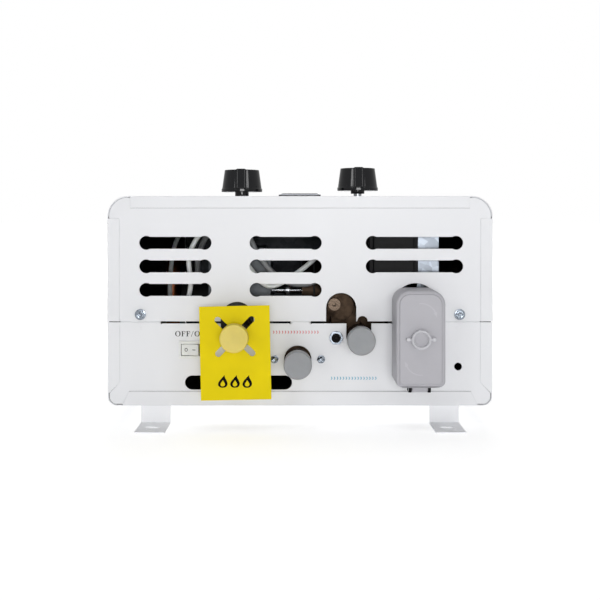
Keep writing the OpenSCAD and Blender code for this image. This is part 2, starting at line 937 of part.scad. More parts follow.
// Flanged hex screw with a cross recess, head on the vent panel
module cover_screws() {
  head_y = panel_y - screw_flange_t - screw_hex_h;
  color(plated_steel)
    for (x = [-cover_screw_x, cover_screw_x])
      at_xz(x, z_seam + cover_screw_rise)
        difference() {
          union() {
            rod_y(screw_head_r, panel_y - screw_flange_t, panel_y);
            rod_y(screw_hex_r, head_y, panel_y, $fn = 6);
            rod_y(screw_r, head_y, panel_y + screw_len);
          }
          cross_recess(head_y);
        }
}

// Control knob: a skirt band, a cone and two hollows that leave a grip
module knob(base_z, h) {
  grip_cut = knob_skirt_r;
  difference() {
    union() {
      translate([0, 0, base_z]) cylinder(r = knob_skirt_r, h = knob_skirt_band);
      translate([0, 0, base_z + knob_skirt_band])
        cylinder(r1 = knob_skirt_r - knob_skirt_step, r2 = knob_top_r, h = h - knob_skirt_band);
    }
    for (side = [-1, 1])
      translate([side * (knob_grip_w / 2 + knob_skirt_r / 2), 0, base_z + h - knob_hollow])
        linear_extrude(knob_hollow + past)
          square([grip_cut, 3 * knob_skirt_r], center = true);
    translate([0, 0, base_z - past])
      cylinder(r = shaft_r + shaft_clear, h = knob_bore + past);
  }
}

// Grip rib that runs down the side of a knob and faces the connection end
module knob_rib(base_z, h) {
  translate([0, 0, base_z + knob_skirt_band])
    intersection() {
      translate([-knob_grip_w / 2, -knob_skirt_r, 0])
        cube([knob_grip_w, knob_skirt_r - knob_top_r + knob_rib_root, h - knob_skirt_band]);
      cylinder(r1 = knob_skirt_r, r2 = knob_top_r + knob_rib_h, h = h - knob_skirt_band);
    }
}

module knob_collar(base_z, h) {
  translate([0, 0, base_z - h])
    difference() {
      cylinder(r = knob_collar_r, h = h);
      translate([0, 0, -past]) cylinder(r = shaft_r + shaft_clear, h = h + 2 * past);
    }
}

module gas_knob() {
  color(knob_black)
    translate([-knob_x, knob_y, 0]) {
      knob(gas_knob_z, gas_knob_h);
      knob_rib(gas_knob_z, gas_knob_h);
      knob_collar(gas_knob_z, gas_knob_lift - touch_gap);
    }
}

module water_knob() {
  color(knob_black)
    translate([knob_x, knob_y, 0]) {
      knob(water_knob_z, water_knob_h);
      knob_rib(water_knob_z, water_knob_h);
      knob_collar(water_knob_z, water_collar_h);
    }
}

// Shaft from inside a valve up into its knob, split at the knob's end
split_w = 0.8;
split_len = 16;
module knob_shaft(valve_top, knob_z) {
  top = knob_z + knob_bore - touch_gap;
  difference() {
    translate([0, 0, valve_top - shaft_hold])
      cylinder(r = shaft_r, h = top - valve_top + shaft_hold);
    block([-shaft_r - past, -split_w / 2, top - split_len], [shaft_r + past, split_w / 2, top + past]);
  }
}

module gas_knob_shaft() {
  color(zinc_grey)
    translate([-knob_x, knob_y, 0]) knob_shaft(gas_valve_z1, gas_knob_z);
}

module water_knob_shaft() {
  color(zinc_grey)
    translate([knob_x, knob_y, 0]) knob_shaft(water_valve_z1, water_knob_z);
}

// Sloping display frame on the front face, open over the lens
lens_t = 1.6;
bezel_slope = 1.5;
bezel_base_h = 1.48;
module_rim_w = 4;
module_rim_l = 2;
module display_bezel() {
  window_w = bezel_w - 2 * bezel_rim;
  window_l = bezel_l - 2 * bezel_rim;
  color(chrome_silver)
    translate([0, knob_y, z_front])
      difference() {
        union() {
          linear_extrude(bezel_base_h)
            round_rect(bezel_w, bezel_l, bezel_r, bezel_r);
          linear_extrude(bezel_h)
            round_rect(bezel_w - 2 * bezel_slope, bezel_l - 2 * bezel_slope, bezel_r, bezel_r);
        }
        translate([0, 0, -past])
          linear_extrude(bezel_h + 2 * past) square([window_w, window_l], center = true);
      }
}

module display_lens() {
  color(glass_black)
    translate([0, knob_y, z_front - sheet_t])
      linear_extrude(sheet_t + lens_t)
        square([bezel_w - 2 * bezel_rim, bezel_l - 2 * bezel_rim], center = true);
}

module display_module() {
  top = z_front - sheet_t;
  half_w = bezel_w / 2 + module_rim_w;
  half_l = bezel_l / 2 + module_rim_l;
  color(board_green)
    block([-half_w, knob_y - half_l, top - module_d], [half_w, knob_y + half_l, top]);
}

// Size of the switch body behind its bezel
switch_side_lip = 1;
switch_top_lip = 1.25;
switch_body_w = switch_w - 2 * switch_side_lip;
switch_body_h = switch_h - 2 * switch_top_lip;
switch_wall = 1.2;
rocker_clear = 0.4;
rocker_end_clear = 0.8;
rocker_pin_r = 1.5;
rocker_pin_in = 1.5;
rocker_pin_y = panel_y + rocker_pin_in;
rocker_tip = 0.6;
rocker_dip = 1;
rocker_skirt = 2;
rocker_keel = 4;

module switch_frame() {
  cavity_w = switch_body_w - 2 * switch_wall;
  cavity_h = switch_body_h - 2 * switch_wall;
  color(switch_white)
    at_xz(switch_x, z_seam - switch_drop)
      difference() {
        union() {
          plate_xz(panel_y - switch_lip, switch_lip)
            round_rect(switch_w, switch_h, switch_side_lip, switch_side_lip);
          block(
            [-switch_body_w / 2, panel_y, -switch_body_h / 2],
            [switch_body_w / 2, panel_y + switch_d, switch_body_h / 2]
          );
        }
        block(
          [-cavity_w / 2, panel_y - switch_lip - past, -cavity_h / 2],
          [cavity_w / 2, panel_y + switch_d - 2 * switch_wall, cavity_h / 2]
        );
        translate([0, rocker_pin_y, -switch_body_h / 2 - past])
          cylinder(r = rocker_pin_r + shaft_clear, h = switch_body_h + 2 * past);
      }
}

// Rocker with a shallow V face, resting with its left half pressed in
module switch_rocker() {
  half_w = switch_body_w / 2 - switch_wall - rocker_end_clear;
  half_h = switch_body_h / 2 - switch_wall - rocker_clear;
  front = panel_y - switch_lip - rocker_pin_y;
  color(switch_white)
    translate([switch_x, rocker_pin_y, z_seam - switch_drop])
      rotate([0, 0, -rocker_tilt]) {
        translate([0, 0, -half_h])
          linear_extrude(2 * half_h)
            polygon([
              [-half_w, front - rocker_tip], [0, front + rocker_dip], [half_w, front - rocker_tip],
              [half_w, rocker_skirt], [0, rocker_keel], [-half_w, rocker_skirt]
            ]);
        translate([0, 0, -half_h - switch_wall])
          cylinder(r = rocker_pin_r, h = 2 * half_h + 2 * switch_wall);
      }
}

// Round power socket with a centre pin
socket_body_r = 5.4;
socket_body_len = 12;
socket_bore_r = 2.95;
socket_pin_r = 1.05;
socket_nose = 3.4;
socket_nut_t = 2.2;
socket_floor = 2;
socket_pin_in = 1;
nut_washer_t = 0.6;
nut_washer_lip = 0.4;

module dc_socket() {
  nose = panel_y - socket_nose;
  back = tab_y + socket_body_len;
  color(plated_steel)
    at_xz(socket_x, z_seam - socket_drop) {
      difference() {
        union() {
          rod_y(socket_r, nose, back);
          rod_y(socket_body_r, tab_y, back);
        }
        rod_y(socket_bore_r, nose - past, back - socket_floor);
      }
      rod_y(socket_pin_r, nose + socket_pin_in, back - socket_floor / 2);
    }
}

module dc_socket_nut() {
  color(plated_steel)
    at_xz(socket_x, z_seam - socket_drop)
      difference() {
        union() {
          rod_y(socket_nut_w / 2 / cos(30), panel_y - socket_nut_t, panel_y - nut_washer_t, $fn = 6);
          rod_y(socket_nut_w / 2 + nut_washer_lip, panel_y - nut_washer_t, panel_y);
        }
        rod_y(socket_r, panel_y - socket_nut_t - past, panel_y + past);
      }
}

// Ring that is cut from a thread to leave a relief groove
module relief_ring(y) {
  difference() {
    rod_y(thread_r + past, y, y + groove_len);
    rod_y(neck_r, y - past, y + groove_len + past);
  }
}

// Threaded pipe end along Y on a plain neck, with its relief grooves
module pipe_end(end_y, grooves, neck_y) {
  difference() {
    union() {
      rod_y(thread_r, end_y, thread_root_y);
      rod_y(neck_r, end_y, neck_y);
    }
    rod_y(pipe_bore_r, end_y - past, neck_y + past);
    for (y = grooves)
      relief_ring(y);
  }
}

// Push-on plastic cap over a pipe end
module push_cap(end_y) {
  difference() {
    rod_y(cap_outer_r, end_y - cap_face, end_y + cap_hold);
    rod_y(cap_inner_r, end_y - touch_gap, end_y + cap_hold + past);
  }
}

module gas_cap() {
  color(cap_cream)
    at_xz(gas_x, gas_z) push_cap(gas_end);
}

module hot_cap() {
  color(cap_grey)
    at_xz(hot_x, hot_z) push_cap(water_end);
}

module cold_cap() {
  color(cap_grey)
    at_xz(cold_x, cold_z) push_cap(water_end);
}

// Card tag that hangs on the gas thread, with four diagonal cuts round its hole
module gas_tag() {
  color(tag_yellow)
    at_xz(gas_x, gas_z)
      rotate([0, -tag_tilt, 0])
        plate_xz(tag_y, tag_t)
          difference() {
            translate([-tag_w / 2, tag_rise - tag_h]) square([tag_w, tag_h]);
            circle(thread_r + tag_clear);
            for (turn = [45 : 90 : 315])
              rotate(turn)
                translate([tag_cut_reach / 2, 0]) slot_shape(tag_cut_reach, tag_cut_w);
          }
}

// Gas inlet: threaded end, hex shoulder inside the casing, root in the gas valve
gas_shoulder_r = 14;
gas_shoulder_t = 10;
module gas_inlet_fitting() {
  shoulder_y = valve_front - gas_shoulder_t;
  color(brass_gold)
    at_xz(gas_x, gas_z) {
      pipe_end(gas_end, [gas_groove_y, tag_groove_y], shoulder_y);
      difference() {
        rod_y(gas_shoulder_r, shoulder_y, valve_front, $fn = 6);
        rod_y(pipe_bore_r, shoulder_y - past, valve_front + past);
      }
    }
}

// Hot outlet: threaded end on an oval flange that is screwed behind the panel
module hot_outlet_fitting() {
  back = tab_y + hot_flange_t;
  color(brass_gold)
    at_xz(hot_x, hot_z) {
      pipe_end(water_end, [water_groove_y], back);
      plate_xz(tab_y, hot_flange_t)
        difference() {
          slot_shape(2 * outlet_screw_x + hot_flange_lip, hot_flange_w);
          circle(neck_r);
          for (side = [-1, 1])
            translate([side * outlet_screw_x, 0]) circle(screw_r + screw_clear);
        }
    }
}

outlet_head_r = 3.5;
outlet_head_h = 2.2;
outlet_dome_h = 0.8;
outlet_dome_step = 0.7;
outlet_tip = 2;
module outlet_screws() {
  head_y = panel_y - outlet_head_h;
  color(plated_steel)
    for (side = [-1, 1])
      at_xz(hot_x + side * outlet_screw_x, hot_z)
        difference() {
          union() {
            rod_y(outlet_head_r, head_y + outlet_dome_h, panel_y);
            rod_y(outlet_head_r - outlet_dome_step, head_y, panel_y);
            rod_y(screw_r, head_y, tab_y + hot_flange_t + outlet_tip);
          }
          cross_recess(head_y);
        }
}

// Outline of the battery box outside the casing
module battery_outline(inset) {
  round_rect(battery_w - 2 * inset, battery_h - 2 * inset, battery_top_r - inset, battery_low_r - inset);
}

module cell_cavity() {
  round_rect(
    tub_w - 2 * battery_wall, tub_h - 2 * battery_wall,
    battery_top_r - battery_wall, battery_low_r - battery_wall
  );
}

module battery_box() {
  color(box_grey)
    difference() {
      union() {
        at_xz(battery_x, battery_z) {
          plate_xz(battery_front, panel_y - battery_front) battery_outline(0);
          plate_xz(panel_y, tub_back - panel_y)
            round_rect(tub_w, tub_h, battery_top_r, battery_low_r);
        }
        for (side = [-1, 1])
          translate([battery_x + side * (battery_hinge_w / 2 - ear_t / 2), 0, 0])
            battery_ear();
      }
      at_xz(battery_x, battery_z)
        plate_xz(battery_front - past, tub_back - battery_wall - battery_front + past)
          cell_cavity();
      translate([battery_x, battery_pin_y, battery_pin_z])
        rod_x(battery_pin_r + shaft_clear, -battery_hinge_w, battery_hinge_w);
    }
}

// Ear of the battery box that carries one end of the cover's hinge pin
ear_r = 2.6;
ear_len = 8;
module battery_ear() {
  translate([0, battery_pin_y, battery_pin_z]) rod_x(ear_r, -ear_t / 2, ear_t / 2);
  block(
    [-ear_t / 2, battery_pin_y, battery_pin_z - ear_r],
    [ear_t / 2, battery_front + ear_len, battery_pin_z + ear_r]
  );
  block(
    [-ear_t / 2, battery_front, battery_pin_z - ear_r],
    [ear_t / 2, battery_front + ear_len, battery_low_z + past]
  );
}

// Hinged battery cover with a moulded pin and a raised front panel
lid_wall = 2;
lid_panel_inset = 4;
lid_panel_h = 1.2;
latch_stem_r = 3;
module battery_cover() {
  face_y = lid_front + lid_panel_h;
  color(box_grey)
    difference() {
      union() {
        at_xz(battery_x, battery_z) {
          plate_xz(face_y, lid_back - face_y) battery_outline(0);
          plate_xz(lid_front, lid_panel_h) battery_outline(lid_panel_inset);
        }
        lid_knuckle();
      }
      at_xz(battery_x, battery_z) {
        plate_xz(face_y + lid_wall, lid_back - face_y) battery_outline(lid_wall);
        rod_y(latch_stem_r + shaft_clear, lid_front - past, lid_back);
      }
    }
}

// Hinge knuckle of the cover, between the ears of the battery box
knuckle_gap = 0.4;
knuckle_r = 2.3;
knuckle_arm = 3.2;
module lid_knuckle() {
  half = battery_hinge_w / 2 - ear_t - knuckle_gap;
  translate([battery_x, battery_pin_y, battery_pin_z]) {
    rod_x(knuckle_r, -half, half);
    rod_x(battery_pin_r, -battery_hinge_w / 2, battery_hinge_w / 2);
    block([-half, -knuckle_arm, 0], [half, -knuckle_gap, battery_hinge_drop + past]);
  }
}

// Turning latch: ring with two wings outside, stem and locking bar inside
latch_wing_h = 2.6;
latch_wing_w = 3;
latch_floor = 1;
latch_bar_len = 20;
latch_bar_w = 6;
latch_bar_t = 2;
module battery_latch() {
  ring_back = lid_front - touch_gap;
  ring_front = ring_back - latch_h;
  inner_y = lid_front + lid_panel_h + lid_wall + touch_gap;
  color(box_grey)
    at_xz(battery_x, battery_z) {
      difference() {
        union() {
          rod_y(latch_r, ring_front, ring_back);
          block(
            [-latch_span / 2, ring_back - latch_wing_h, -latch_wing_w / 2],
            [latch_span / 2, ring_back, latch_wing_w / 2]
          );
        }
        rod_y(latch_bore_r, ring_front - past, ring_back - latch_floor);
      }
      rod_y(latch_stem_r, ring_back - latch_floor, inner_y + latch_bar_t);
      block(
        [-latch_bar_len / 2, inner_y, -latch_bar_w / 2],
        [latch_bar_len / 2, inner_y + latch_bar_t, latch_bar_w / 2]
      );
    }
}

cell_nub_r = 4.5;
cell_nub_h = 1.5;
module battery_cells() {
  body_back = cell_back - cell_nub_h;
  color("#30363c")
    for (side = [-1, 1])
      at_xz(battery_x, battery_z + side * cell_offset) {
        rod_y(cell_r, cell_back - cell_len, body_back);
        rod_y(cell_nub_r, body_back, cell_back);
      }
}

contact_half = 8;
module battery_contacts() {
  color(plated_steel)
    for (side = [-1, 1])
      at_xz(battery_x, battery_z + side * cell_offset)
        block(
          [-contact_half, cell_back, -contact_half],
          [contact_half, cell_back + contact_t, contact_half]
        );
}

// Gas valve: cast block on a foot, with bores for the knob shaft and push rod
valve_cap_h = 14;
valve_cap_step = 6;
valve_foot_step = 10;
valve_foot_inset = 20;
gas_boss_r = 11;
valve_bore_len = 30;
module gas_valve() {
  x0 = gas_x - gas_valve_w / 2;
  x1 = gas_x + gas_valve_w / 2;
  cap_z = gas_valve_z1 - valve_cap_h;
  color(zinc_grey)
    difference() {
      union() {
        block([x0, valve_front, gas_valve_z0], [x1, valve_back, cap_z]);
        block(
          [x0 + valve_cap_step, valve_front + valve_cap_step, cap_z],
          [x1 - valve_cap_step, valve_back - valve_cap_step, gas_valve_z1 - valve_cap_step]
        );
        translate([-knob_x, knob_y, cap_z]) cylinder(r = gas_boss_r, h = valve_cap_h);
        block(
          [x0 + valve_foot_step, valve_front + valve_foot_inset, floor_z],
          [x1 - valve_foot_step, valve_back - valve_foot_inset, gas_valve_z0]
        );
      }
      translate([-knob_x, knob_y, gas_valve_z1 - shaft_hold - shaft_end_gap])
        cylinder(r = shaft_r + shaft_clear, h = shaft_hold + shaft_end_gap + past);
      translate([0, knob_y, rod_z])
        rod_x(rod_r + shaft_clear, gas_face_x - rod_hold - rod_travel - shaft_end_gap, gas_face_x + past);
      at_xz(gas_x, gas_z)
        rod_y(pipe_bore_r, valve_front - past, valve_front + valve_bore_len);
      at_xz(gas_x, manifold_z)
        rod_y(feed_bore_r, valve_back - valve_bore_len, valve_back + past);
    }
}

// Solenoid on the gas valve's left face
solenoid_r = 16;
solenoid_len = 28;
solenoid_shift = 5;
solenoid_lip = 2;
solenoid_plate_t = 3;
solenoid_base_t = 5;
module gas_solenoid() {
  x1 = gas_x - gas_valve_w / 2;
  color(rubber_black)
    translate([0, knob_y - solenoid_shift, manifold_z + solenoid_shift]) {
      rod_x(solenoid_r - solenoid_lip, x1 - solenoid_len, x1);
      translate([x1 - solenoid_len + solenoid_lip, 0, 0])
        rod_x(solenoid_r, 0, solenoid_plate_t);
      rod_x(solenoid_r, x1 - solenoid_base_t, x1);
    }
}

// Gas manifold: feed pipe, bar and one nozzle per burner
feed_r = 9;
feed_bore_r = 6;
nozzle_r = 4;
nozzle_hex_r = 6;
nozzle_hole_r = 5;
manifold_half = 9;
manifold_end = 12;
function burner_x(i) = (i - (burner_count - 1) / 2) * burner_pitch;

module gas_manifold() {
  bar_half = (burner_count - 1) / 2 * burner_pitch + manifold_end;
  color(zinc_grey)
    at_xz(0, manifold_z) {
      at_xz(gas_x, 0) rod_y(feed_r, valve_back, manifold_y0);
      block([-bar_half, manifold_y0, -manifold_half], [bar_half, manifold_y1, manifold_half]);
      for (i = [0 : burner_count - 1])
        at_xz(burner_x(i), 0) {
          rod_y(nozzle_hex_r, manifold_y1, tray_y0, $fn = 6);
          rod_y(nozzle_r, manifold_y1, tray_y0 + nozzle_len);
        }
    }
}

// Burner tray: open-ended box with a nozzle plate
module burner_tray() {
  half = core_w / 2;
  color(zinc_grey)
    difference() {
      block([-half, tray_y0, core_z0], [half, tray_y1, core_z1]);
      block(
        [core_t - half, tray_y0 + core_t, core_z0 + core_t],
        [half - core_t, tray_y1 + past, core_z1 - core_t]
      );
      for (i = [0 : burner_count - 1])
        at_xz(burner_x(i), manifold_z)
          rod_y(nozzle_hole_r, tray_y0 - past, tray_y0 + 2 * core_t);
      for (x = electrode_places)
        translate([x, electrode_y, core_z1 - 2 * core_t])
          cylinder(r = electrode_r + screw_clear, h = 4 * core_t);
    }
}

// Burner bars: flat hollow blades with a row of flame slots and a venturi mouth
burner_w = 12;
burner_len = 66;
burner_wall = 1;
burner_setback = 8;
burner_mouth = 20;
flame_slot_count = 12;
flame_slot_d = 3;
flame_slot_half = 1;
module burner_bars() {
  y0 = tray_y0 + burner_setback;
  z0 = core_z0 + core_t;
  z1 = core_z1 - core_t;
  slot_pitch = (z1 - z0) / (flame_slot_count + 1);
  color(zinc_grey)
    for (i = [0 : burner_count - 1])
      translate([burner_x(i), 0, 0])
        difference() {
          block([-burner_w / 2, y0, z0], [burner_w / 2, y0 + burner_len, z1]);
          block(
            [burner_wall - burner_w / 2, y0 + burner_wall, z0 + burner_wall],
            [burner_w / 2 - burner_wall, y0 + burner_len - burner_wall, z1 - burner_wall]
          );
          at_xz(0, manifold_z) rod_y(nozzle_r, y0 - past, y0 + burner_mouth);
          for (k = [1 : flame_slot_count])
            block(
              [-burner_w / 2 - past, y0 + burner_len - flame_slot_d, z0 + k * slot_pitch - flame_slot_half],
              [burner_w / 2 + past, y0 + burner_len + past, z0 + k * slot_pitch + flame_slot_half]
            );
        }
}

// Spark and flame-sensing electrodes in ceramic sleeves through the tray's front wall
electrode_places = [-30, 0, 30];
electrode_from_edge = 7;
electrode_y = tray_y1 - electrode_from_edge;
electrode_r = 3.5;
electrode_flange_r = 6;
electrode_flange_t = 3;
electrode_rise = 12;
electrode_hold = 8;
electrode_tip_r = 1;
electrode_tip_len = 20;
electrode_tip_lap = 4;
module electrodes() {
  color(lead_white)
    for (x = electrode_places)
      translate([x, electrode_y, 0]) {
        translate([0, 0, core_z1 - electrode_hold])
          cylinder(r = electrode_r, h = electrode_rise + electrode_hold);
        translate([0, 0, core_z1])
          cylinder(r = electrode_flange_r, h = electrode_flange_t);
        translate([0, 0, core_z1 - electrode_tip_lap - electrode_tip_len])
          cylinder(r = electrode_tip_r, h = electrode_tip_len);
      }
}

// Water valve: hollow brass casting with the cold inlet, an outlet side and a diaphragm seat
valve_wall = 5;
water_neck_r = 9;
water_neck_h = 10;
water_head_step = 4;
water_foot_step = 12;
riser_bore_len = 20;
module water_valve() {
  x0 = water_valve_x - water_valve_w / 2;
  x1 = water_valve_x + water_valve_w / 2;
  color(brass_gold)
    difference() {
      union() {
        block([x0, valve_front, water_valve_z0], [x1, valve_back, water_valve_z1 - water_head_step]);
        translate([knob_x, knob_y, water_valve_z1 - water_neck_h])
          cylinder(r = water_neck_r, h = water_neck_h);
        block(
          [x0 + water_foot_step, valve_front + valve_foot_inset, floor_z],
          [x1 - water_foot_step, valve_back - valve_foot_inset, water_valve_z0]
        );
        translate([0, knob_y, rod_z]) rod_x(stack_r, seat_x, stack_x);
        water_boss();
        at_xz(cold_x, cold_z) {
          rod_y(cold_neck_r, water_end, valve_front);
          rod_y(thread_r, water_end, thread_root_y);
        }
      }
      translate([knob_x, knob_y, water_valve_z1 - shaft_hold - shaft_end_gap])
        cylinder(r = shaft_r + shaft_clear, h = shaft_hold + shaft_end_gap + past);
      block(
        [x0 + valve_wall, valve_front + valve_wall, water_valve_z0 + valve_wall],
        [x1 - valve_wall, valve_back - valve_wall, water_valve_z1 - shaft_hold - 2 * shaft_end_gap]
      );
      translate([0, knob_y, rod_z]) rod_x(chamber_r, seat_x - past, seat_x + seat_depth);
      at_xz(cold_x, cold_z) {
        rod_y(pipe_bore_r, water_end - past, valve_front + valve_bore_len);
        relief_ring(water_groove_y);
      }
      at_xz(drain_x, drain_z)
        rod_y(drain_stem_r + shaft_clear, water_boss_y - past, water_boss_y + drain_hold + shaft_end_gap);
      translate([0, riser_start_y, riser_z])
        rod_x(tube_r - tube_wall, x1 - riser_bore_len, x1 + past);
    }
}

// Rounded front of the water valve that shows in the panel's opening
boss_gap = 1;
boss_step = 4;
boss_lap = 2;
module water_boss() {
  boss_r = arch_r - boss_gap;
  at_xz(arch_x, z_seam + arch_rise) rod_y(boss_r, water_boss_y, valve_front);
  block(
    [arch_x - boss_r + boss_step, water_boss_y + boss_step, cold_z],
    [cold_x + boss_lap, valve_front, z_seam + arch_rise]
  );
}

// Drain valve screwed into the water valve's front
drain_len = 9.5;
drain_hold = 10;
drain_bore_r = 1.8;
drain_bore_len = 8;
drain_rim = 1.1;
drain_ring_d = 0.8;
drain_slot_w = 1;
drain_slot_d = 1.2;
module drain_valve() {
  nose = water_boss_y - drain_len;
  color(brass_gold)
    at_xz(drain_x, drain_z)
      difference() {
        union() {
          rod_y(drain_r, nose, water_boss_y - touch_gap);
          rod_y(drain_stem_r, nose, water_boss_y + drain_hold);
        }
        rod_y(drain_bore_r, nose - past, nose + drain_bore_len);
        difference() {
          rod_y(drain_r - drain_rim, nose - past, nose + drain_ring_d);
          rod_y(drain_stem_r, nose - 2 * past, nose + drain_ring_d + past);
        }
        block(
          [-drain_r - past, nose - past, -drain_slot_w / 2],
          [drain_r + past, nose + drain_slot_d, drain_slot_w / 2]
        );
      }
}

module diaphragm_cover() {
  color(brass_gold)
    translate([0, knob_y, rod_z])
      difference() {
        rod_x(stack_r, dome_x0, dome_x1);
        rod_x(chamber_r, dome_x0 + dome_wall, dome_x1 + past);
        rod_x(rod_r + shaft_clear, dome_x0 - past, dome_x1);
      }
}

module diaphragm() {
  color(rubber_black)
    translate([0, knob_y, rod_z]) rod_x(stack_r, dome_x1, seat_x);
}

// Push rod from the diaphragm to the gas valve, with a collar for the small switch
module push_rod() {
  end = dome_x1 - touch_gap;
  color(zinc_grey)
    translate([0, knob_y, rod_z]) {
      rod_x(rod_r, gas_face_x - rod_hold, end);
      rod_x(plate_r, end - plate_t, end);
      rod_x(rod_collar_r, rod_collar_x - rod_collar_t, rod_collar_x);
    }
}

// Small switch on the diaphragm cover's face, worked by the collar
micro_rise = 3;
micro_h = 14;
micro_half = 10;
plunger_rise = 4;
plunger_h = 2;
plunger_half = 1.5;
plunger_depth = 8;
module micro_switch() {
  color(rubber_black)
    translate([0, knob_y, rod_z])
      difference() {
        block([switch_body_x, -micro_half, micro_rise], [dome_x0, micro_half, micro_rise + micro_h]);
        block(
          [switch_body_x - past, -plunger_half - touch_gap, plunger_rise - touch_gap],
          [
            switch_body_x + plunger_depth, plunger_half + touch_gap,
            plunger_rise + plunger_h + touch_gap
          ]
        );
      }
}

module micro_switch_plunger() {
  color("#b03028")
    translate([0, knob_y, rod_z])
      block(
        [rod_collar_x, -plunger_half, plunger_rise],
        [switch_body_x + plunger_depth - touch_gap, plunger_half, plunger_rise + plunger_h]
      );
}

// Cold pipe from the water valve's side up to the exchanger's first pass
module cold_riser_pipe() {
  color(copper_red)
    tube_run([
      [water_valve_x + water_valve_w / 2, riser_start_y, riser_z],
      [riser_x, riser_start_y, riser_z],
      [riser_x, tube_y, riser_z],
      [tube_end_x, tube_y, riser_z]
    ]);
}

// Hot pipe from the exchanger's last pass down to the outlet fitting
module hot_outlet_pipe() {
  color(copper_red)
    tube_run([
      [-tube_end_x, tube_y, hot_rise_z],
      [-riser_x, tube_y, hot_rise_z],
      [-riser_x, hot_cross_y, hot_rise_z],
      [-riser_x, hot_cross_y, hot_z],
      [hot_x, hot_cross_y, hot_z],
      [hot_x, tab_y + hot_flange_t, hot_z]
    ]);
}

// Overheat thermostat clipped to the hot pipe's outer side
thermostat_r = 8;
thermostat_t = 6;
thermostat_cap = 3;
thermostat_back = 110;
module thermostat() {
  pipe_side = -riser_x - tube_r;
  color(plated_steel)
    translate([pipe_side - thermostat_t, tube_y - thermostat_back, hot_rise_z]) {
      rod_x(thermostat_r, 0, thermostat_t);
      rod_x(thermostat_r - thermostat_cap, -thermostat_cap, 0);
    }
}

// Three tube passes joined by bends outside the jacket
module exchanger_tubes() {
  bend_x = tube_end_x + bend_r;
  color(copper_red)
    tube_run([
      [tube_end_x, tube_y, core_z - tube_pitch],
      [-bend_x, tube_y, core_z - tube_pitch],
      [-bend_x, tube_y, core_z],
      [bend_x, tube_y, core_z],
      [bend_x, tube_y, core_z + tube_pitch],
      [-tube_end_x, tube_y, core_z + tube_pitch]
    ]);
}

// Holes for the three tube passes
module pass_holes(half) {
  for (k = [-1 : 1])
    translate([0, tube_y, core_z + k * tube_pitch]) rod_x(tube_r, -half, half);
}

// Copper jacket between tray and hood, with a seating flange at each end
jacket_flange_t = 1.5;
module exchanger_jacket() {
  half = jacket_w / 2;
  color(copper_red)
    difference() {
      union() {
        block([-half, tray_y1, core_z - jacket_d / 2], [half, hood_y0, core_z + jacket_d / 2]);
        for (y = [tray_y1, hood_y0 - jacket_flange_t])
          block([-core_w / 2, y, core_z0], [core_w / 2, y + jacket_flange_t, core_z1]);
      }
      block(
        [core_t - half, tray_y1 - past, core_z - jacket_d / 2 + core_t],
        [half - core_t, hood_y0 + past, core_z + jacket_d / 2 - core_t]
      );
      pass_holes(core_w);
    }
}

// Stack of thin fins on the tube passes
module exchanger_fins() {
  half_d = jacket_d / 2 - core_t;
  pitch = (jacket_w - 4 * core_t) / (fin_count + 1);
  color(copper_red)
    difference() {
      for (i = [1 : fin_count])
        translate([(i - (fin_count + 1) / 2) * pitch, 0, 0])
          block(
            [-fin_t / 2, tube_y - fin_h / 2, core_z - half_d],
            [fin_t / 2, tube_y + fin_h / 2, core_z + half_d]
          );
      pass_holes(core_w);
    }
}

// Draught hood: box over the jacket with relief windows and a flue hole
hood_window_w = 160;
hood_window_h = 16;
hood_window_in = 8;
collar_t = 0.8;
module draught_hood() {
  half = core_w / 2;
  color(zinc_grey)
    difference() {
      block([-half, hood_y0, core_z0], [half, hood_y1, core_z1]);
      block(
        [core_t - half, hood_y0 - past, core_z0 + core_t],
        [half - core_t, hood_y1 - core_t, core_z1 - core_t]
      );
      at_xz(0, core_z) rod_y(flue_r - collar_t, hood_y1 - 2 * core_t, hood_y1 + past);
      block(
        [-hood_window_w / 2, hood_y0 + hood_window_in, core_z1 - 2 * core_t],
        [hood_window_w / 2, hood_y0 + hood_window_in + hood_window_h, core_z1 + past]
      );
    }
}

// Flue collar: round spigot with a seating flange and a rolled bead
collar_flange = 7;
collar_flange_t = 1;
bead_h = 1;
bead_len = 2;
bead_gap = 1;
module flue_collar() {
  end = y_top + flue_reach;
  color(zinc_grey)
    at_xz(0, core_z)
      difference() {
        union() {
          rod_y(flue_r, hood_y1, end);
          rod_y(flue_r + collar_flange, hood_y1, hood_y1 + collar_flange_t);
          rod_y(flue_r + bead_h, y_top + bead_gap, y_top + bead_gap + bead_len);
        }
        rod_y(flue_r - collar_t, hood_y1 - past, end + past);
      }
}

// Two hat rails that carry tray, jacket and hood on the back plate
rail_w = 30;
rail_x = 80;
rail_lip = 8;
rail_inset = 10;
module chassis_rails() {
  rail_y0 = tray_y0 + rail_inset;
  rail_y1 = hood_y1 - rail_inset;
  color(zinc_grey)
    for (side = [-1, 1])
      translate([side * rail_x, 0, 0])
        difference() {
          union() {
            block([-rail_w / 2, rail_y0, floor_z], [rail_w / 2, rail_y1, core_z0]);
            block(
              [-rail_w / 2 - rail_lip, rail_y0, floor_z],
              [rail_w / 2 + rail_lip, rail_y1, floor_z + core_t]
            );
          }
          block(
            [core_t - rail_w / 2, rail_y0 - past, floor_z - past],
            [rail_w / 2 - core_t, rail_y1 + past, core_z0 - core_t]
          );
        }
}

// Dark ignition control box behind the right vents
module control_box() {
  color(rubber_black) {
    block([control_x0, control_y0, control_z0], [control_x1, control_y1, control_z1]);
    block(
      [control_x0 + lid_step, control_y0 - lid_t, control_z0 + lid_step],
      [control_x1 - lid_step, control_y0, control_z1 - lid_step]
    );
  }
}

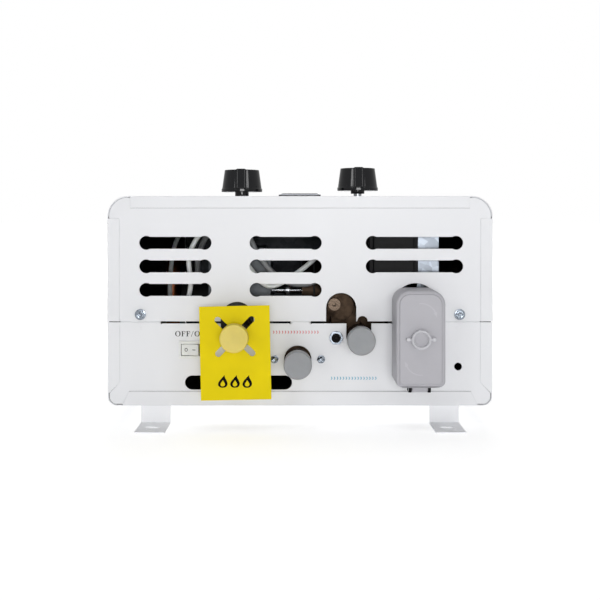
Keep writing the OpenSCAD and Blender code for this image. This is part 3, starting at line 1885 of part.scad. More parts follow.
// Bracket that stands on the battery box and holds the control box's side
module control_bracket() {
  foot_z = battery_z + tub_h / 2;
  strip_y = control_y0 + bracket_strip_in;
  strip_x1 = control_x1 + strip_t + bracket_strip_w;
  color(enamel_white) {
    block([control_x1, strip_y, control_z0], [control_x1 + strip_t, control_y1, control_z1]);
    block([control_x1, strip_y, foot_z], [strip_x1, strip_y + strip_t, control_z1]);
    block(
      [battery_x - bracket_foot_half, strip_y, foot_z],
      [battery_x + bracket_foot_half, strip_y + bracket_foot_len, foot_z + strip_t]
    );
  }
}

// High-voltage lead from the control box to the spark electrode
ignition_r = 2.2;
module ignition_lead() {
  color(lead_white) wire(ignition_route, ignition_r);
}

// Grey sleeved harness from the control box to the solenoid
harness_r = 2.6;
module harness_sleeve() {
  color(sleeve_grey) wire(harness_route, harness_r);
}

// Red and blue leads from the battery box to the control box
battery_lead_r = 1.2;
module battery_leads() {
  color("#a03a34") {
    wire(red_route, battery_lead_r);
    wire(blue_route, battery_lead_r);
  }
}

front_cover();
vent_panel();
cover_top_panel();
rear_pan();
connection_panel();
rear_top_panel();
wall_brackets_lower();
wall_brackets_upper();
cover_screws();
gas_knob();
gas_knob_shaft();
water_knob();
water_knob_shaft();
display_bezel();
display_lens();
display_module();
switch_frame();
switch_rocker();
dc_socket();
dc_socket_nut();
gas_tag();
gas_cap();
hot_cap();
cold_cap();
battery_box();
battery_cover();
battery_latch();
battery_cells();
battery_contacts();
gas_inlet_fitting();
gas_valve();
gas_solenoid();
gas_manifold();
burner_tray();
burner_bars();
electrodes();
water_valve();
diaphragm_cover();
diaphragm();
push_rod();
micro_switch();
micro_switch_plunger();
drain_valve();
cold_riser_pipe();
hot_outlet_pipe();
hot_outlet_fitting();
outlet_screws();
exchanger_jacket();
exchanger_fins();
exchanger_tubes();
draught_hood();
flue_collar();
chassis_rails();
control_box();
control_bracket();
thermostat();
ignition_lead();
harness_sleeve();
battery_leads();
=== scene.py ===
"""Looks of a tankless gas water heater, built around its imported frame.

The heater lies on its back on its wall brackets, with the connection end to the camera.
X runs across the casing, Y from the connection end to the flue end, and Z from the wall
plane to the front face. Every length is in metres; MM turns millimetres into them.
"""

import json
import logging
import math
from collections.abc import Mapping, Sequence
from dataclasses import dataclass
from enum import Enum
from typing import Any

import bmesh
import bpy
from mathutils import Matrix, Vector

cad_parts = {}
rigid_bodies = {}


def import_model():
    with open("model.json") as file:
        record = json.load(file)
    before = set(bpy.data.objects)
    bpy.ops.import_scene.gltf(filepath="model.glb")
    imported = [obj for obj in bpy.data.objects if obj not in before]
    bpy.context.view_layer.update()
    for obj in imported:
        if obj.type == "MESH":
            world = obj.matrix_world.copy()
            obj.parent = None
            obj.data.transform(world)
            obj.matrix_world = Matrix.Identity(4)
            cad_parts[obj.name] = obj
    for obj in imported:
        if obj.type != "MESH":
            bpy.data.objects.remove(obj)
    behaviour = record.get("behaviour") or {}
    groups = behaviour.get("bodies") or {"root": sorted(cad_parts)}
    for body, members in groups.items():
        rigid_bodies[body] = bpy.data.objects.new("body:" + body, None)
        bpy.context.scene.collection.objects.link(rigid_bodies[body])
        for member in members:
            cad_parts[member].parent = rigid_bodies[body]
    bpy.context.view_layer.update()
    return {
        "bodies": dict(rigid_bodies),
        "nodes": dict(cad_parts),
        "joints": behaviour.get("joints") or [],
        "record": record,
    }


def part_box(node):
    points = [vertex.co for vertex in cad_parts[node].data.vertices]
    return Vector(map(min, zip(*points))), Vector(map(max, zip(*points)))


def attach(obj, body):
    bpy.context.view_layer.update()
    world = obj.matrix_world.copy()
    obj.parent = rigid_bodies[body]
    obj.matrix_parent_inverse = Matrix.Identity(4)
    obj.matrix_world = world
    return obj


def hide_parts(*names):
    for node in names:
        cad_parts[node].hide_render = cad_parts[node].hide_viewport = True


LOG = logging.getLogger("heater")
MM = 0.001
# Printed inks lie this far off the surface that carries them.
INK_LIFT = 0.06 * MM
# Radius of the first and last ring of a turned shape, so that its end can be filled.
POLE = 0.02 * MM
# Points closer than this are one, and faces that turn by less, in degrees, are one.
MERGE = 0.002 * MM
FLAT_TURN = 0.5
# A noise keeps mostly between these values.
NOISE_RANGE = (0.3, 0.7)
# Distance from band to band of a wave texture of scale 1.
WAVE_PERIOD = 2 * math.pi / 20

Colour = tuple[float, float, float, float]
Point = tuple[float, float, float]
Pair = tuple[float, float]
Outline = list[Pair]
Node = bpy.types.Node
Tree = bpy.types.NodeTree
Socket = bpy.types.NodeSocket
Piece = bpy.types.Object
Shape = bmesh.types.BMesh


def linear(code: str) -> Colour:
    """Turn an sRGB hex colour into linear RGBA.

    Args:
        code: Colour as #rrggbb.
    Returns:
        The linear colour with full alpha.
    """
    parts = [int(code[i:i + 2], 16) / 255 for i in (1, 3, 5)]
    # The standard's own curve
    red, green, blue = (p / 12.92 if p <= 0.04045 else ((p + 0.055) / 1.055) ** 2.4 for p in parts)
    return red, green, blue, 1.0


def shaded(colour: Colour, share: float) -> Colour:
    """Return a colour whose light is scaled by share, at most to white."""
    red, green, blue = (min(1.0, part * share) for part in colour[:3])
    return red, green, blue, 1.0


def add_node(tree: Tree, kind: str, inputs: Mapping[Any, Any] | None = None, **settings: Any) -> Node:
    """Add one node, set its properties, then fill or link its inputs.

    Args:
        tree: Tree that takes the node.
        kind: Type name of the node.
        inputs: Input name or index to a value, or to the output socket that feeds it.
        settings: Properties of the node.
    Returns:
        The new node.
    """
    node = tree.nodes.new(kind)
    for name, value in settings.items():
        setattr(node, name, value)
    for key, value in (inputs or {}).items():
        if isinstance(value, Socket):
            tree.links.new(value, node.inputs[key])
        else:
            node.inputs[key].default_value = value
    return node


def calc(tree: Tree, operation: str, first: Any, second: Any) -> Socket:
    """Return the result of a sum on two values or sockets."""
    return add_node(tree, "ShaderNodeMath", {0: first, 1: second}, operation=operation).outputs[0]


def vector_calc(tree: Tree, operation: str, *terms: Any) -> Node:
    """Return a node that works on vectors, given as values or sockets."""
    return add_node(tree, "ShaderNodeVectorMath", dict(enumerate(terms)), operation=operation)


@dataclass(frozen=True)
class Finish:
    """A surface: the material's name, its colour and how it answers light.

    The base finish has a mottled colour, a gloss that wanders and a fine relief. Each real
    finish below sets what those are, or adds its own layers.
    """

    name: str
    colour: str
    roughness: float
    metallic: float = 0.0
    ior: float = 1.45
    # Share by which the colour and the gloss wander from place to place
    mottle: float = 0.04
    gloss_mottle: float = 0.06
    # Size of the patches and of the relief's grain, and the relief's height
    patch: float = 30 * MM
    grain: float = 2 * MM
    relief: float = 0.02 * MM
    subsurface: float = 0.0

    def material(self) -> bpy.types.Material:
        """Return the finish's material, made at its first use."""
        found = bpy.data.materials.get(self.name)
        if found:
            return found
        made = bpy.data.materials.new(self.name)
        made.use_nodes = True
        made.diffuse_color = linear(self.colour)
        tree = made.node_tree
        tree.nodes.clear()
        place = add_node(tree, "ShaderNodeTexCoord").outputs["Object"]
        shader = add_node(tree, "ShaderNodeBsdfPrincipled", {
            "Base Color": self.tint(tree, place), "Roughness": self.gloss(tree, place),
            "Normal": self.bump(tree, place), "Metallic": self.metallic, "IOR": self.ior,
            "Subsurface Weight": self.subsurface,
        })
        add_node(tree, "ShaderNodeOutputMaterial", {"Surface": shader.outputs[0]})
        return made

    def noise(self, tree: Tree, place: Socket, size: float, detail: float = 2.0) -> Socket:
        """Return a noise value whose patches are about as large as size."""
        return add_node(tree, "ShaderNodeTexNoise", {
            "Vector": place, "Scale": 1 / size, "Detail": detail, "Roughness": 0.55,
        }).outputs["Fac"]

    def spread(self, tree: Tree, value: Socket, low: float, high: float) -> Socket:
        """Return a noise value stretched to lie between low and high."""
        return add_node(tree, "ShaderNodeMapRange", {
            "Value": value, "From Min": NOISE_RANGE[0], "From Max": NOISE_RANGE[1],
            "To Min": low, "To Max": high,
        }).outputs["Result"]

    def blend(self, tree: Tree, share: Socket, first: Any, second: Any) -> Socket:
        """Return a colour between first and second by share."""
        # The mix node's colours are its inputs 6 and 7, and its colour result is output 2
        mix = add_node(tree, "ShaderNodeMix", {0: share, 6: first, 7: second}, data_type="RGBA")
        return mix.outputs[2]

    def tint(self, tree: Tree, place: Socket) -> Socket:
        """Return the mottled colour."""
        middle = linear(self.colour)
        share = self.spread(tree, self.noise(tree, place, self.patch), 0.0, 1.0)
        return self.blend(tree, share, shaded(middle, 1 - self.mottle), shaded(middle, 1 + self.mottle))

    def gloss(self, tree: Tree, place: Socket) -> Socket:
        """Return the wandering roughness."""
        value = self.noise(tree, place, self.patch / 2, detail=3.0)
        wander = self.roughness * self.gloss_mottle
        return self.spread(tree, value, self.roughness - wander, self.roughness + wander)

    def height(self, tree: Tree, place: Socket) -> Socket:
        """Return the relief's height value."""
        return self.noise(tree, place, self.grain)

    def bump(self, tree: Tree, place: Socket) -> Socket:
        """Return the normal that the relief gives."""
        return add_node(tree, "ShaderNodeBump", {
            "Height": self.height(tree, place), "Strength": 1.0, "Distance": self.relief,
        }).outputs["Normal"]


@dataclass(frozen=True)
class PowderCoat(Finish):
    """Baked powder coat on the outside of a sheet casing, with dark primer on its inside, drawn near black
    so that it also paints the shade within the casing.
    """

    # Dark primer, near black so that it also stands as painted shade inside the casing
    primer_and_shade: str = "#2c2e30"
    # Middle and half size of the space inside the casing, where the primer and its painted shade show
    inside_at: Point = (0.0, 0.0, 109 * MM)
    inside: Point = (169.3 * MM, 273.5 * MM, 91.8 * MM)

    def tint(self, tree: Tree, place: Socket) -> Socket:
        """Return the coat's colour outside, and inside the dark primer that also paints the casing's inner
        shade.
        """
        out = vector_calc(tree, "SUBTRACT", place, self.inside_at).outputs[0]
        share = vector_calc(tree, "DIVIDE", out, self.inside).outputs[0]
        size = vector_calc(tree, "ABSOLUTE", share).outputs[0]
        x, y, z = add_node(tree, "ShaderNodeSeparateXYZ", {0: size}).outputs
        widest = calc(tree, "MAXIMUM", calc(tree, "MAXIMUM", x, y), z)
        # A face that looks towards the middle of the casing is on its inside
        looks = add_node(tree, "ShaderNodeTexCoord").outputs["Normal"]
        outward = vector_calc(tree, "DOT_PRODUCT", looks, out).outputs["Value"]
        inward = calc(tree, "LESS_THAN", outward, 0.0)
        # Faces inside the casing take the near-black primer, partly painted shade
        bare = calc(tree, "MULTIPLY", calc(tree, "LESS_THAN", widest, 1.0), inward)
        return self.blend(tree, bare, super().tint(tree, place), linear(self.primer_and_shade))


@dataclass(frozen=True)
class CastMetal(Finish):
    """Sand-cast metal: a pitted skin with a darker film in its hollows."""

    film: str = "#2a1d10"
    film_share: float = 0.6

    def tint(self, tree: Tree, place: Socket) -> Socket:
        """Return the metal's colour with a darker film in patches."""
        patches = self.noise(tree, place, self.patch, detail=6.0)
        share = self.spread(tree, patches, 0.0, self.film_share)
        return self.blend(tree, share, super().tint(tree, place), linear(self.film))

    def height(self, tree: Tree, place: Socket) -> Socket:
        """Return the pitted height of a casting's skin."""
        pits = add_node(tree, "ShaderNodeTexVoronoi", {"Vector": place, "Scale": 1 / self.grain})
        fine = self.noise(tree, place, self.grain / 2, detail=4.0)
        return calc(tree, "MULTIPLY", pits.outputs["Distance"], fine)


@dataclass(frozen=True)
class ZincSheet(Finish):
    """Galvanised steel sheet: angular crystals that each answer light a little differently."""

    spangle: float = 6 * MM
    # The darkest crystal is darker than the lightest by this many times the mottle
    contrast: float = 3.0

    def tint(self, tree: Tree, place: Socket) -> Socket:
        """Return the colour with the crystals' own shades."""
        cells = add_node(tree, "ShaderNodeTexVoronoi", {"Vector": place, "Scale": 1 / self.spangle})
        shade = add_node(tree, "ShaderNodeSeparateColor", {0: cells.outputs["Color"]}).outputs[0]
        middle = linear(self.colour)
        return self.blend(tree, shade, shaded(middle, 1 - self.contrast * self.mottle), middle)


@dataclass(frozen=True)
class TurnedMetal(Finish):
    """Machined or drawn metal: shallow rings that follow each other along Y."""

    # Wider than a tool's real grooves, so that they show
    groove: float = 5.027 * MM

    def height(self, tree: Tree, place: Socket) -> Socket:
        """Return the height of the tool's rings."""
        return add_node(tree, "ShaderNodeTexWave", {
            "Vector": place, "Scale": WAVE_PERIOD / self.groove, "Distortion": 0.4, "Detail": 1.0,
        }, bands_direction="Y").outputs["Fac"]


@dataclass(frozen=True)
class TwoLeads(Finish):
    """Two plastic jackets in one piece: one colour left of a plane across X, one right of it."""

    second: str = "#2a4f9a"
    split_x: float = 0.0

    def tint(self, tree: Tree, place: Socket) -> Socket:
        """Return the colour of the lead at this place."""
        across = add_node(tree, "ShaderNodeSeparateXYZ", {0: place}).outputs["X"]
        right = calc(tree, "GREATER_THAN", across, self.split_x)
        return self.blend(tree, right, super().tint(tree, place), linear(self.second))


class Shading(Enum):
    """How a mesh's faces meet for the eye: the angle, in degrees, below which they are one."""

    FLAT = 0.0
    SOFT = 50.0


def new_piece(name: str, bm: Shape, finish: Finish, shading: Shading = Shading.SOFT) -> Piece:
    """Turn a bmesh into a dressed object at the origin.

    Args:
        name: The piece's name.
        bm: Its shape, which is freed.
        finish: Its surface.
        shading: How its faces meet.
    Returns:
        The new object, linked to the scene.
    """
    mesh = bpy.data.meshes.new(name)
    bm.to_mesh(mesh)
    bm.free()
    smooth = shading is not Shading.FLAT
    mesh.polygons.foreach_set("use_smooth", [smooth] * len(mesh.polygons))
    if smooth:
        mesh.set_sharp_from_angle(angle=math.radians(shading.value))
    mesh.materials.append(finish.material())
    made = bpy.data.objects.new(name, mesh)
    bpy.context.scene.collection.objects.link(made)
    if smooth:
        even = made.modifiers.new("even_shading", "WEIGHTED_NORMAL")
        even.keep_sharp = True
        even.weight = 100
    return made


def seat(piece: Piece, body: str, slot: str, *nodes: str) -> None:
    """Let a piece ride on a body and stand for frame nodes.

    Args:
        piece: The finished piece.
        body: Body that it moves with.
        slot: Material slot of the record; not used.
        nodes: Frame nodes that it stands for.
    """
    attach(piece, body)
    if nodes:
        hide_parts(*nodes)
    LOG.info("%s rides on %s: %d faces", piece.name, body, len(piece.data.polygons))


def middle_of(node: str) -> Vector:
    """Return the middle of a frame node's box."""
    low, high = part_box(node)
    return (Vector(low) + Vector(high)) / 2


def front_of(node: str) -> float:
    """Return the Y of a frame node's face towards the connection end."""
    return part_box(node)[0][1]


def node_copy(node: str) -> Shape:
    """Return a merged copy of a frame node's mesh, with its flat faces joined."""
    bm = bmesh.new()
    bm.from_mesh(bpy.data.objects[node].data)
    bmesh.ops.remove_doubles(bm, verts=bm.verts, dist=MERGE)
    bmesh.ops.dissolve_limit(
        bm, angle_limit=math.radians(FLAT_TURN), verts=bm.verts, edges=bm.edges,
        use_dissolve_boundaries=False)
    return bm


def left_half(node: str) -> Shape:
    """Return the left one of a frame node's pair, as a merged copy."""
    bm = node_copy(node)
    right = [v for v in bm.verts if v.co.x > middle_of(node).x]
    bmesh.ops.delete(bm, geom=right, context="VERTS")
    return bm


def ease_edges(bm: Shape, width: float, steps: int = 2, turn: float = 30.0) -> None:
    """Round the sharp edges of a closed mesh.

    Args:
        bm: The mesh.
        width: Width of the rounding.
        steps: Faces across the rounding.
        turn: Least angle, in degrees, of an edge that is rounded.
    """
    sharp = [e for e in bm.edges if e.is_manifold and e.calc_face_angle(0.0) > math.radians(turn)]
    bmesh.ops.bevel(
        bm, geom=sharp, offset=width, segments=steps, profile=0.5, affect="EDGES", clamp_overlap=False)


def ease_node(node: str, finish: Finish, width: float, body: str, slot: str) -> None:
    """Put a piece with rounded edges in the place of a frame node of the same shape.

    Args:
        node: Frame node to copy.
        finish: Surface of the piece.
        width: Width of the rounding.
        body: Body that it moves with.
        slot: Material slot of the record.
    """
    bm = node_copy(node)
    ease_edges(bm, width)
    seat(new_piece(f"{node}_skin", bm, finish), body, slot, node)


def arc(steps: int, start: float = 0.0, sweep: float = 90.0) -> list[float]:
    """Return the angles, in radians, along an arc whose start and sweep are in degrees."""
    return [math.radians(start + sweep * i / steps) for i in range(steps + 1)]


def round_turn(steps: int) -> list[float]:
    """Return the angles, in radians, of points round a full turn."""
    return [2 * math.pi * i / steps for i in range(steps)]


def smooth_step(t: float) -> float:
    """Return a soft rise from 0 to 1 as t goes from 0 to 1."""
    return t * t * (3 - 2 * t)


def spline(points: Sequence[tuple[float, ...]], steps: int) -> list[tuple[float, ...]]:
    """Return a smooth curve from the second point up to the last but one.

    Args:
        points: Points to pass; the first and the last only bend the curve's ends.
        steps: Stretches from one point to the next.
    Returns:
        Points along the curve, without its end.
    """
    curve = []
    for quad in zip(points, points[1:], points[2:], points[3:]):
        for t in (i / steps for i in range(steps)):
            curve.append(tuple(
                b + t * (c - a) / 2 + t * t * (a - 2.5 * b + 2 * c - d / 2)
                + t ** 3 * (3 * b - a - 3 * c + d) / 2 for a, b, c, d in zip(*quad)))
    return curve


def ring_points(across: float, up: float, steps: int = 32, at: Pair = (0.0, 0.0)) -> Outline:
    """Return an ellipse with the given half sizes round a middle."""
    return [(at[0] + across * math.cos(a), at[1] + up * math.sin(a)) for a in round_turn(steps)]


def box_outline(half_x: float, half_y: float) -> Outline:
    """Return the corners of a rectangle with the given half sizes."""
    return [(-half_x, -half_y), (half_x, -half_y), (half_x, half_y), (-half_x, half_y)]


def rounded_outline(width: float, height: float, top_r: float, low_r: float, steps: int = 10) -> Outline:
    """Return a rectangle with its own corner radius at the top and at the bottom.

    Args:
        width: Width of the outline.
        height: Height of the outline.
        top_r: Radius of the two upper corners.
        low_r: Radius of the two lower corners.
        steps: Points per corner, less one.
    Returns:
        Points round the outline, counter-clockwise, centred on the origin.
    """
    corners = ((1, 1, top_r), (-1, 1, top_r), (-1, -1, low_r), (1, -1, low_r))
    points: Outline = []
    for turn, (across, up, radius) in enumerate(corners):
        x, y = across * (width / 2 - radius), up * (height / 2 - radius)
        points += [(x + radius * math.cos(a), y + radius * math.sin(a)) for a in arc(steps, 90 * turn)]
    return points


def join_rings(bm: Shape, low: Sequence[bmesh.types.BMVert], high: Sequence[bmesh.types.BMVert]) -> None:
    """Skin the band between two closed rings that have as many points."""
    for i, j in zip(range(-1, len(low) - 1), range(len(low))):
        bm.faces.new((low[i], low[j], high[j], high[i]))


def loft(bm: Shape, rings: Sequence[Sequence[Point]], close: bool = True) -> None:
    """Skin a row of rings that have as many points each.

    Args:
        bm: Mesh that takes the skin.
        rings: Points of each ring.
        close: True fills the first and last ring, False joins them to each other.
    """
    rows = [[bm.verts.new(p) for p in ring] for ring in rings]
    for low, high in zip(rows, rows[1:]):
        join_rings(bm, low, high)
    if close:
        bm.faces.new(list(reversed(rows[0])))
        bm.faces.new(rows[-1])
    else:
        join_rings(bm, rows[-1], rows[0])
    outwards(bm)


def outwards(bm: Shape) -> None:
    """Merge doubles and turn every face of closed shapes outwards."""
    bmesh.ops.remove_doubles(bm, verts=bm.verts, dist=MERGE / 2)
    bmesh.ops.recalc_face_normals(bm, faces=bm.faces)


def turned(profile: Outline, axis: Vector, steps: int) -> Shape:
    """Return a closed body of revolution about a line along Y.

    Args:
        profile: Radius and Y of each ring, from one end to the other.
        axis: A point on the line.
        steps: Points round each ring.
    Returns:
        The body.
    """
    bm = bmesh.new()
    rings = []
    for r, y in profile:
        rings.append([(axis.x + r * math.cos(a), y, axis.z + r * math.sin(a)) for a in round_turn(steps)])
    loft(bm, rings)
    return bm


def block(size: Point, at: Point) -> Shape:
    """Return a box of the given size round a middle."""
    bm = bmesh.new()
    bmesh.ops.create_cube(bm, size=1.0)
    bmesh.ops.scale(bm, verts=bm.verts, vec=size)
    bmesh.ops.translate(bm, verts=bm.verts, vec=at)
    return bm


def join_to(bm: Shape, *parts: Shape) -> None:
    """Add parts to a shape; the parts are freed."""
    for part in parts:
        mesh = bpy.data.meshes.new("part")
        part.to_mesh(mesh)
        part.free()
        bm.from_mesh(mesh)
        bpy.data.meshes.remove(mesh)


def cut_level(bm: Shape, z: float, up: int) -> None:
    """Cut a closed shape at a height and close the cut.

    Args:
        bm: The shape.
        z: Height of the cut.
        up: 1 keeps what lies above it, -1 what lies below.
    """
    bmesh.ops.bisect_plane(
        bm, geom=bm.verts[:] + bm.edges[:] + bm.faces[:], plane_co=(0.0, 0.0, z),
        plane_no=(0.0, 0.0, -up), clear_outer=True)
    bmesh.ops.holes_fill(bm, edges=bm.edges, sides=0)


def carved(bm: Shape, tool: Shape) -> Shape:
    """Cut a closed tool out of a closed shape.

    Args:
        bm: The shape, which is freed.
        tool: What is cut away, which is freed.
    Returns:
        The cut shape.
    """
    pair = []
    for part in (bm, tool):
        mesh = bpy.data.meshes.new("carving")
        part.to_mesh(mesh)
        part.free()
        pair.append(bpy.data.objects.new("carving", mesh))
        bpy.context.scene.collection.objects.link(pair[-1])
    cut = pair[0].modifiers.new("cut", "BOOLEAN")
    cut.operation = "DIFFERENCE"
    cut.solver = "EXACT"
    cut.object = pair[1]
    graph = bpy.context.evaluated_depsgraph_get()
    result = bpy.data.meshes.new_from_object(pair[0].evaluated_get(graph), depsgraph=graph)
    made = bmesh.new()
    made.from_mesh(result)
    bpy.data.meshes.remove(result)
    for part in pair:
        mesh = part.data
        bpy.data.objects.remove(part)
        bpy.data.meshes.remove(mesh)
    return made


def flat_print(name: str, outlines: Sequence[Outline], at: Point, ink: Finish) -> Piece:
    """Print filled outlines on a face that looks towards the connection end.

    Args:
        name: Name of the print.
        outlines: Closed outlines in X and Z; one inside another is left bare.
        at: Origin of the outlines, on the printed face.
        ink: Surface of the print.
    Returns:
        The print, a hair off the face.
    """
    bm = bmesh.new()
    for outline in outlines:
        points = [bm.verts.new((at[0] + x, at[1] - INK_LIFT, at[2] + z)) for x, z in outline]
        for first, second in zip(points, points[1:] + points[:1]):
            bm.edges.new((first, second))
    bmesh.ops.triangle_fill(
        bm, use_beauty=True, use_dissolve=False, edges=bm.edges, normal=(0.0, -1.0, 0.0))
    for face in bm.faces:
        face.normal_update()
        if face.normal.y > 0:
            face.normal_flip()
    return new_piece(name, bm, ink, Shading.FLAT)


# White powder coat: even, soft sheen with a faint orange peel.
ENAMEL = PowderCoat(
    "powder_coated_steel", "#e4e5e8", 0.4, ior=1.5, mottle=0.012, patch=70 * MM,
    grain=3.5 * MM, relief=0.012 * MM)
# The same coat on a bracket, which has no bare inside, drawn lighter than the casing's coat as painted
# light on the feet that the body shades.
BRACKET_PAINTED_LIGHT = Finish(
    "powder_coated_bracket_painted_light", "#f4f5f8", 0.4, ior=1.5, mottle=0.012, patch=70 * MM, grain=3.5 * MM,
    relief=0.012 * MM)
# Zinc plate with blue passivation: bluish silver with a cloudy gloss.
ZINC = Finish(
    "blue_zinc_plated_steel", "#8f97a1", 0.3, metallic=1.0, mottle=0.1, gloss_mottle=0.25,
    patch=3 * MM, grain=0.9 * MM, relief=0.01 * MM)
# Glossy moulded ABS: near black with sharp reflections.
KNOB_BLACK = Finish(
    "abs_moulded_gloss_black", "#121316", 0.07, ior=1.42, mottle=0.08, patch=12 * MM,
    grain=1.6 * MM, relief=0.004 * MM)
# Turned mild steel: grey with tool rings.
SHAFT_STEEL = TurnedMetal("turned_mild_steel", "#b3b6ba", 0.28, metallic=1.0, relief=0.01 * MM)
# Chrome on plastic: a grey mirror that takes the shades round it.
CHROME = Finish(
    "chrome_plated_abs", "#85878c", 0.14, metallic=1.0, mottle=0.03, patch=15 * MM, relief=0.003 * MM)
# Smoked acrylic window: black with a hard shine.
LENS = Finish(
    "smoked_acrylic_window", "#0b0c0f", 0.06, ior=1.49, mottle=0.1, patch=8 * MM, relief=0.002 * MM)
# Solder-masked board: green with a satin skin.
BOARD = Finish("solder_masked_board", "#2f6b46", 0.38, ior=1.5, mottle=0.15, patch=4 * MM)
# Moulded nylon: white with a dull sheen.
SWITCH_WHITE = Finish(
    "nylon_moulded_white", "#e3e3e1", 0.42, ior=1.53, mottle=0.02, patch=6 * MM, grain=0.8 * MM,
    relief=0.006 * MM, subsurface=0.05)
# Coloured rigid PVC card: saturated yellow with a flat sheen.
TAG_CARD = Finish(
    "pvc_card_yellow", "#e2cc00", 0.5, ior=1.2, mottle=0.035, patch=22 * MM, grain=1.5 * MM,
    relief=0.01 * MM)
# Natural yellow polyethylene: waxy, lets light in at its rim.
CAP_CREAM = Finish(
    "ldpe_moulded_cream", "#e3c359", 0.4, ior=1.51, mottle=0.04, patch=9 * MM, grain=1.2 * MM,
    relief=0.012 * MM, subsurface=0.2)
# Grey polyethylene: waxy and dull.
CAP_GREY = Finish(
    "ldpe_moulded_grey", "#8b8c8f", 0.46, ior=1.51, mottle=0.05, patch=9 * MM, grain=1.2 * MM,
    relief=0.012 * MM, subsurface=0.06)
# Spark-eroded ABS: light grey with a fine even grain.
BATTERY_GREY = Finish(
    "abs_fine_grained_grey", "#adacb2", 0.5, ior=1.54, mottle=0.02, patch=14 * MM, grain=0.9 * MM,
    relief=0.014 * MM)
# The latch's own moulding: a lighter grey than the cover.
LATCH_GREY = Finish(
    "abs_moulded_pale_grey", "#bebec3", 0.42, ior=1.54, mottle=0.02, patch=8 * MM, grain=0.9 * MM,
    relief=0.008 * MM)
# Polished arrows on the cover: a shade lighter than its grain.
ARROW_GREY = Finish("abs_polished_grey", "#b6b5bb", 0.35, ior=1.54, mottle=0.02, patch=8 * MM)
# Printed cell jacket: dark foil with a dull shine.
CELL_JACKET = Finish("cell_jacket_foil", "#30363c", 0.36, metallic=0.4, mottle=0.1, patch=10 * MM)
# Sand-cast brass that has gone brown, black in its hollows, and drawn darker still as painted shade where
# it sits recessed in the casing.
BRASS = CastMetal(
    "cast_brass_patina_and_painted_shade", "#40342a", 0.44, metallic=1.0, film="#0d0907", film_share=0.9,
    mottle=0.15, patch=7 * MM, grain=1.4 * MM, relief=0.05 * MM)
# Turned brass that has gone dull: dark brown with tool rings.
TURNED_BRASS = TurnedMetal("turned_brass", "#564a40", 0.34, metallic=1.0, mottle=0.08, relief=0.012 * MM)
# Die-cast zinc alloy: dull dark grey with a pitted skin.
DIE_CAST = CastMetal(
    "die_cast_zinc", "#5c5f62", 0.5, metallic=1.0, film="#242527", film_share=0.4,
    patch=12 * MM, grain=1.2 * MM, relief=0.03 * MM)
# Taped coil: black and dull.
COIL_TAPE = Finish("coil_tape_black", "#121213", 0.6, ior=1.3, mottle=0.15, patch=5 * MM)
# Acetal plunger: red with a waxy gloss.
PLUNGER_RED = Finish("acetal_moulded_red", "#b03028", 0.34, ior=1.48, mottle=0.05, patch=4 * MM)
# Galvanised sheet: grey crystals.
SHEET_STEEL = ZincSheet(
    "galvanised_sheet_steel", "#a3a7ab", 0.4, metallic=1.0, mottle=0.08, relief=0.01 * MM)
# The same sheet drawn dark grey as painted shade, for the sheets deep inside the casing behind the vents.
SHADED_SHEET = ZincSheet(
    "galvanised_sheet_painted_shade", "#3a3c3f", 0.5, metallic=1.0, mottle=0.1, relief=0.01 * MM)
# Bright zinc sheet of a bracket: bluish grey, with a broad sheen.
BRIGHT_SHEET = ZincSheet(
    "bright_zinc_sheet", "#7f858d", 0.3, metallic=1.0, mottle=0.14, relief=0.006 * MM)
# Glazed ceramic: white with a wet shine.
CERAMIC = Finish("glazed_ceramic", "#e6e1d5", 0.2, ior=1.6, mottle=0.03, patch=5 * MM)
# Moulded rubber: black and dull.
RUBBER = Finish("epdm_moulded_rubber", "#202021", 0.7, ior=1.52, mottle=0.1, patch=4 * MM)
# Drawn copper that heat has browned in patches.
COPPER = CastMetal(
    "drawn_copper_heat_stained", "#b06a48", 0.34, metallic=1.0, film="#4a2a1c", film_share=0.45,
    mottle=0.08, patch=18 * MM, grain=1.5 * MM, relief=0.008 * MM)
# Silicone lead: white with a soft dull skin.
LEAD_WHITE = Finish(
    "silicone_lead_white", "#dcdddb", 0.44, ior=1.43, mottle=0.04, patch=8 * MM, subsurface=0.05)
# PVC sleeve: mid grey with a dull skin.
SLEEVE_GREY = Finish("pvc_sleeve_grey", "#9a9c9e", 0.48, ior=1.53, mottle=0.06, patch=8 * MM)
# Battery leads: red and blue PVC.
LEAD_COLOURS = TwoLeads(
    "pvc_leads_red_and_blue", "#9c2f2a", 0.42, ior=1.53, mottle=0.05, patch=5 * MM, split_x=95.0 * MM)

SLOT_FINISHES: dict[str, Finish] = {
    "enamel": ENAMEL, "zinc_screws": ZINC, "knob_black": KNOB_BLACK, "shaft_steel": SHAFT_STEEL,
    "bezel_chrome": CHROME, "lens_dark": LENS, "board": BOARD, "switch_white": SWITCH_WHITE,
    "tag_card": TAG_CARD, "cap_cream": CAP_CREAM, "cap_grey": CAP_GREY, "battery_grey": BATTERY_GREY,
    "cell_jacket": CELL_JACKET, "brass": BRASS, "die_cast": DIE_CAST, "coil_black": COIL_TAPE,
    "plunger_red": PLUNGER_RED, "sheet_steel": SHEET_STEEL, "ceramic": CERAMIC, "rubber": RUBBER,
    "copper": COPPER, "lead_white": LEAD_WHITE, "sleeve_grey": SLEEVE_GREY, "lead_colours": LEAD_COLOURS,
}
# Nodes whose surface differs from the rest of their slot
NODE_FINISHES: dict[str, Finish] = {
    # Sheets deep inside the casing take the dark grey of painted shade
    "burner_tray": SHADED_SHEET, "burner_bars": SHADED_SHEET, "draught_hood": SHADED_SHEET,
    "chassis_rails": SHADED_SHEET, "drain_valve": TURNED_BRASS,
}

